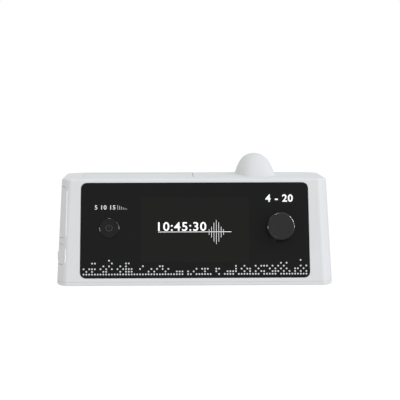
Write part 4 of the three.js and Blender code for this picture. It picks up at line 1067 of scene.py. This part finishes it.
# each finish, how far it rounds the edges, and the nodes that have it
finishes = (
    (darkAbs, 0.2, ("display_module", "memory_card", "power_inlet")),
    (solderMask, 0.1, ("front_board", "card_board", "main_board")),
    (brushedSteel, 0.2, ("encoder_shaft", "lid_pin")),
    (brushedSteel, 0.15, ("filter_door_pin", "card_door_pin", "card_socket")),
    (brushedSteel, 0.1, ("tank_disc", *(f"base_screw_{i}" for i in (1, 2, 3, 4)))),
    (greyAbs, 0.3, ("tank_bay", "heater_bracket", "intake_duct", "muffler_box")),
    (greyAbs, 0.25, ("blower_lower", "blower_upper", "outlet_duct")),
    (greyAbs, 0.2, ("push_collar", "encoder_body")),
    (greyAbs, 0.15, ("power_switch",)),
    (greyRubber, 0.3, ("tank_seal", "blower_mount")),
    (greyRubber, 0.1, ("blower_duct",)),
    (machinedAluminium, 0.3, ("heater_plate",)),
    (machinedAluminium, 0.25, ("blower_motor",)),
    (clearPolycarbonate, 0.3, ("water_tank", "tank_cover")),
    (clearPolycarbonate, 0.1, ("impeller",)),
    (paleFoam, 0.3, ("filter_foam",)),
    (darkFoam, 0.4, ("muffler_foam",)),
)
for material, edge, nodes in finishes:
    for node in nodes:
        dress(node, material, edge)
discard(outer, shell)
print("solids dressed")


# floor, room and lights, in metres

# the sweep shows a little brighter than it lights the machine
sweep = {"corners": rectangle(-6, -4, 6, 6), "seen": 1.05, "lights": 0.7}
# linear colours: a darker wall on the left, a cool bright one on the right, white where the camera sees it
walls = {"left": (0.475, 0.48, 0.44, 1), "right": (0.885, 0.91, 0.97, 1), "seen": (1, 1, 1, 1)}


def studioFloor():
    material, tree = newMaterial("white studio sweep, matt")
    place = addNode(tree, "TexCoord").outputs["Object"]
    noise = addNode(tree, "TexNoise", {"Vector": place, "Scale": 3.0})
    tone = addNode(tree, "MapRange", {"Value": noise.outputs["Fac"], "To Min": 0.98, "To Max": 1.0})
    seen = addNode(tree, "LightPath").outputs["Is Camera Ray"]
    strength = addNode(tree, "MapRange", {"Value": seen, "To Min": sweep["lights"], "To Max": sweep["seen"]})
    shader = addNode(tree, "Emission", {"Color": tone.outputs["Result"],
                                        "Strength": strength.outputs["Result"]})
    addNode(tree, "OutputMaterial", {"Surface": shader.outputs["Emission"]})
    floor = makeSolid([(x, y, 0) for x, y in sweep["corners"]], [(0, 1, 2, 3)])
    floor.name = "floor"
    floor.data.materials.append(material)
    return floor


def studioRoom():
    room = bpy.data.worlds.new("room")
    scene.world = room
    room.use_nodes = True
    tree = room.node_tree
    tree.nodes.clear()
    path = addNode(tree, "LightPath")
    white = addNode(tree, "Background", {"Color": walls["seen"], "Strength": 1.0})
    way = addNode(tree, "SeparateXYZ", {"Vector": addNode(tree, "TexCoord").outputs["Generated"]})
    across = addNode(tree, "MapRange", {"Value": way.outputs["X"], "From Min": -1.0, "From Max": 1.0})
    ramp = addNode(tree, "ValToRGB", {"Fac": across.outputs["Result"]})
    for stop, side in zip(ramp.color_ramp.elements, ("left", "right")):
        stop.color = walls[side]
    grey = addNode(tree, "Background", {"Color": ramp.outputs["Color"], "Strength": 1.0})
    mixed = addNode(tree, "MixShader", {"Fac": path.outputs["Is Camera Ray"]})
    tree.links.new(grey.outputs["Background"], mixed.inputs[1])
    tree.links.new(white.outputs["Background"], mixed.inputs[2])
    addNode(tree, "OutputWorld", {"Surface": mixed.outputs["Shader"]})
    return room


machineMiddle = (0, 0, 0.05)


def areaLight(name, place, size, power, aim=machineMiddle, onlyOn=()):
    data = bpy.data.lights.new(name, "AREA")
    data.shape = "RECTANGLE"
    data.size, data.size_y = size
    data.energy = power
    light = bpy.data.objects.new(name, data)
    light.location = place
    light.rotation_euler = (Vector(aim) - Vector(place)).to_track_quat("-Z", "Y").to_euler()
    scene.collection.objects.link(light)
    if onlyOn:
        receivers = bpy.data.collections.new(name + " receivers")
        for piece in onlyOn:
            receivers.objects.link(bpy.data.objects[piece])
        light.light_linking.receiver_collection = receivers
    return light


studioFloor()
studioRoom()
areaLight("right strip light", (1.7, -1.0, 1.0), size=(0.3, 1.6), power=10.5)
areaLight("top softbox", (0.2, 0.1, 1.6), size=(1.2, 1.2), power=2.6)
areaLight("low front softbox", (-0.2, -2.2, 0.15), size=(0.5, 0.2), power=2.2)
areaLight("top left light", (-1.0, -0.6, 1.3), size=(0.3, 0.3), power=2)

# narrow windows that only the glossy rims and the door beads mirror, and the matt casing doesn't show
rims = ("knob_cap", "button_cap")
buttonRim = ("button_cap",)
beads = ("filter_door_bead", "card_door_bead")
areaLight("right window", (1.7, -1.0, 1.1), size=(0.12, 1.7), power=100, onlyOn=rims)
areaLight("right window on the button", (1.7, -1.0, 0.6), size=(0.15, 0.7), power=50, onlyOn=buttonRim)
areaLight("upper left window", (-0.25, -0.7, 1.5), size=(0.45, 0.06), power=7, onlyOn=rims)
areaLight("upper window on the button", (-0.1, -0.6, 1.5), size=(0.3, 0.05), power=12, onlyOn=buttonRim)
areaLight("left window", (-1.7, -1.0, 0.3), size=(0.15, 0.5), power=20, onlyOn=rims)
areaLight("left window on the button", (-1.7, -1.0, 0.25), size=(0.12, 0.5), power=90, onlyOn=buttonRim)
areaLight("window on the door beads", (-0.7, -1.6, 0.5), size=(0.2, 0.2), power=13, aim=(-0.13, 0, 0.05),
          onlyOn=beads)
scene.view_settings.view_transform = "Standard"
print("lights set")
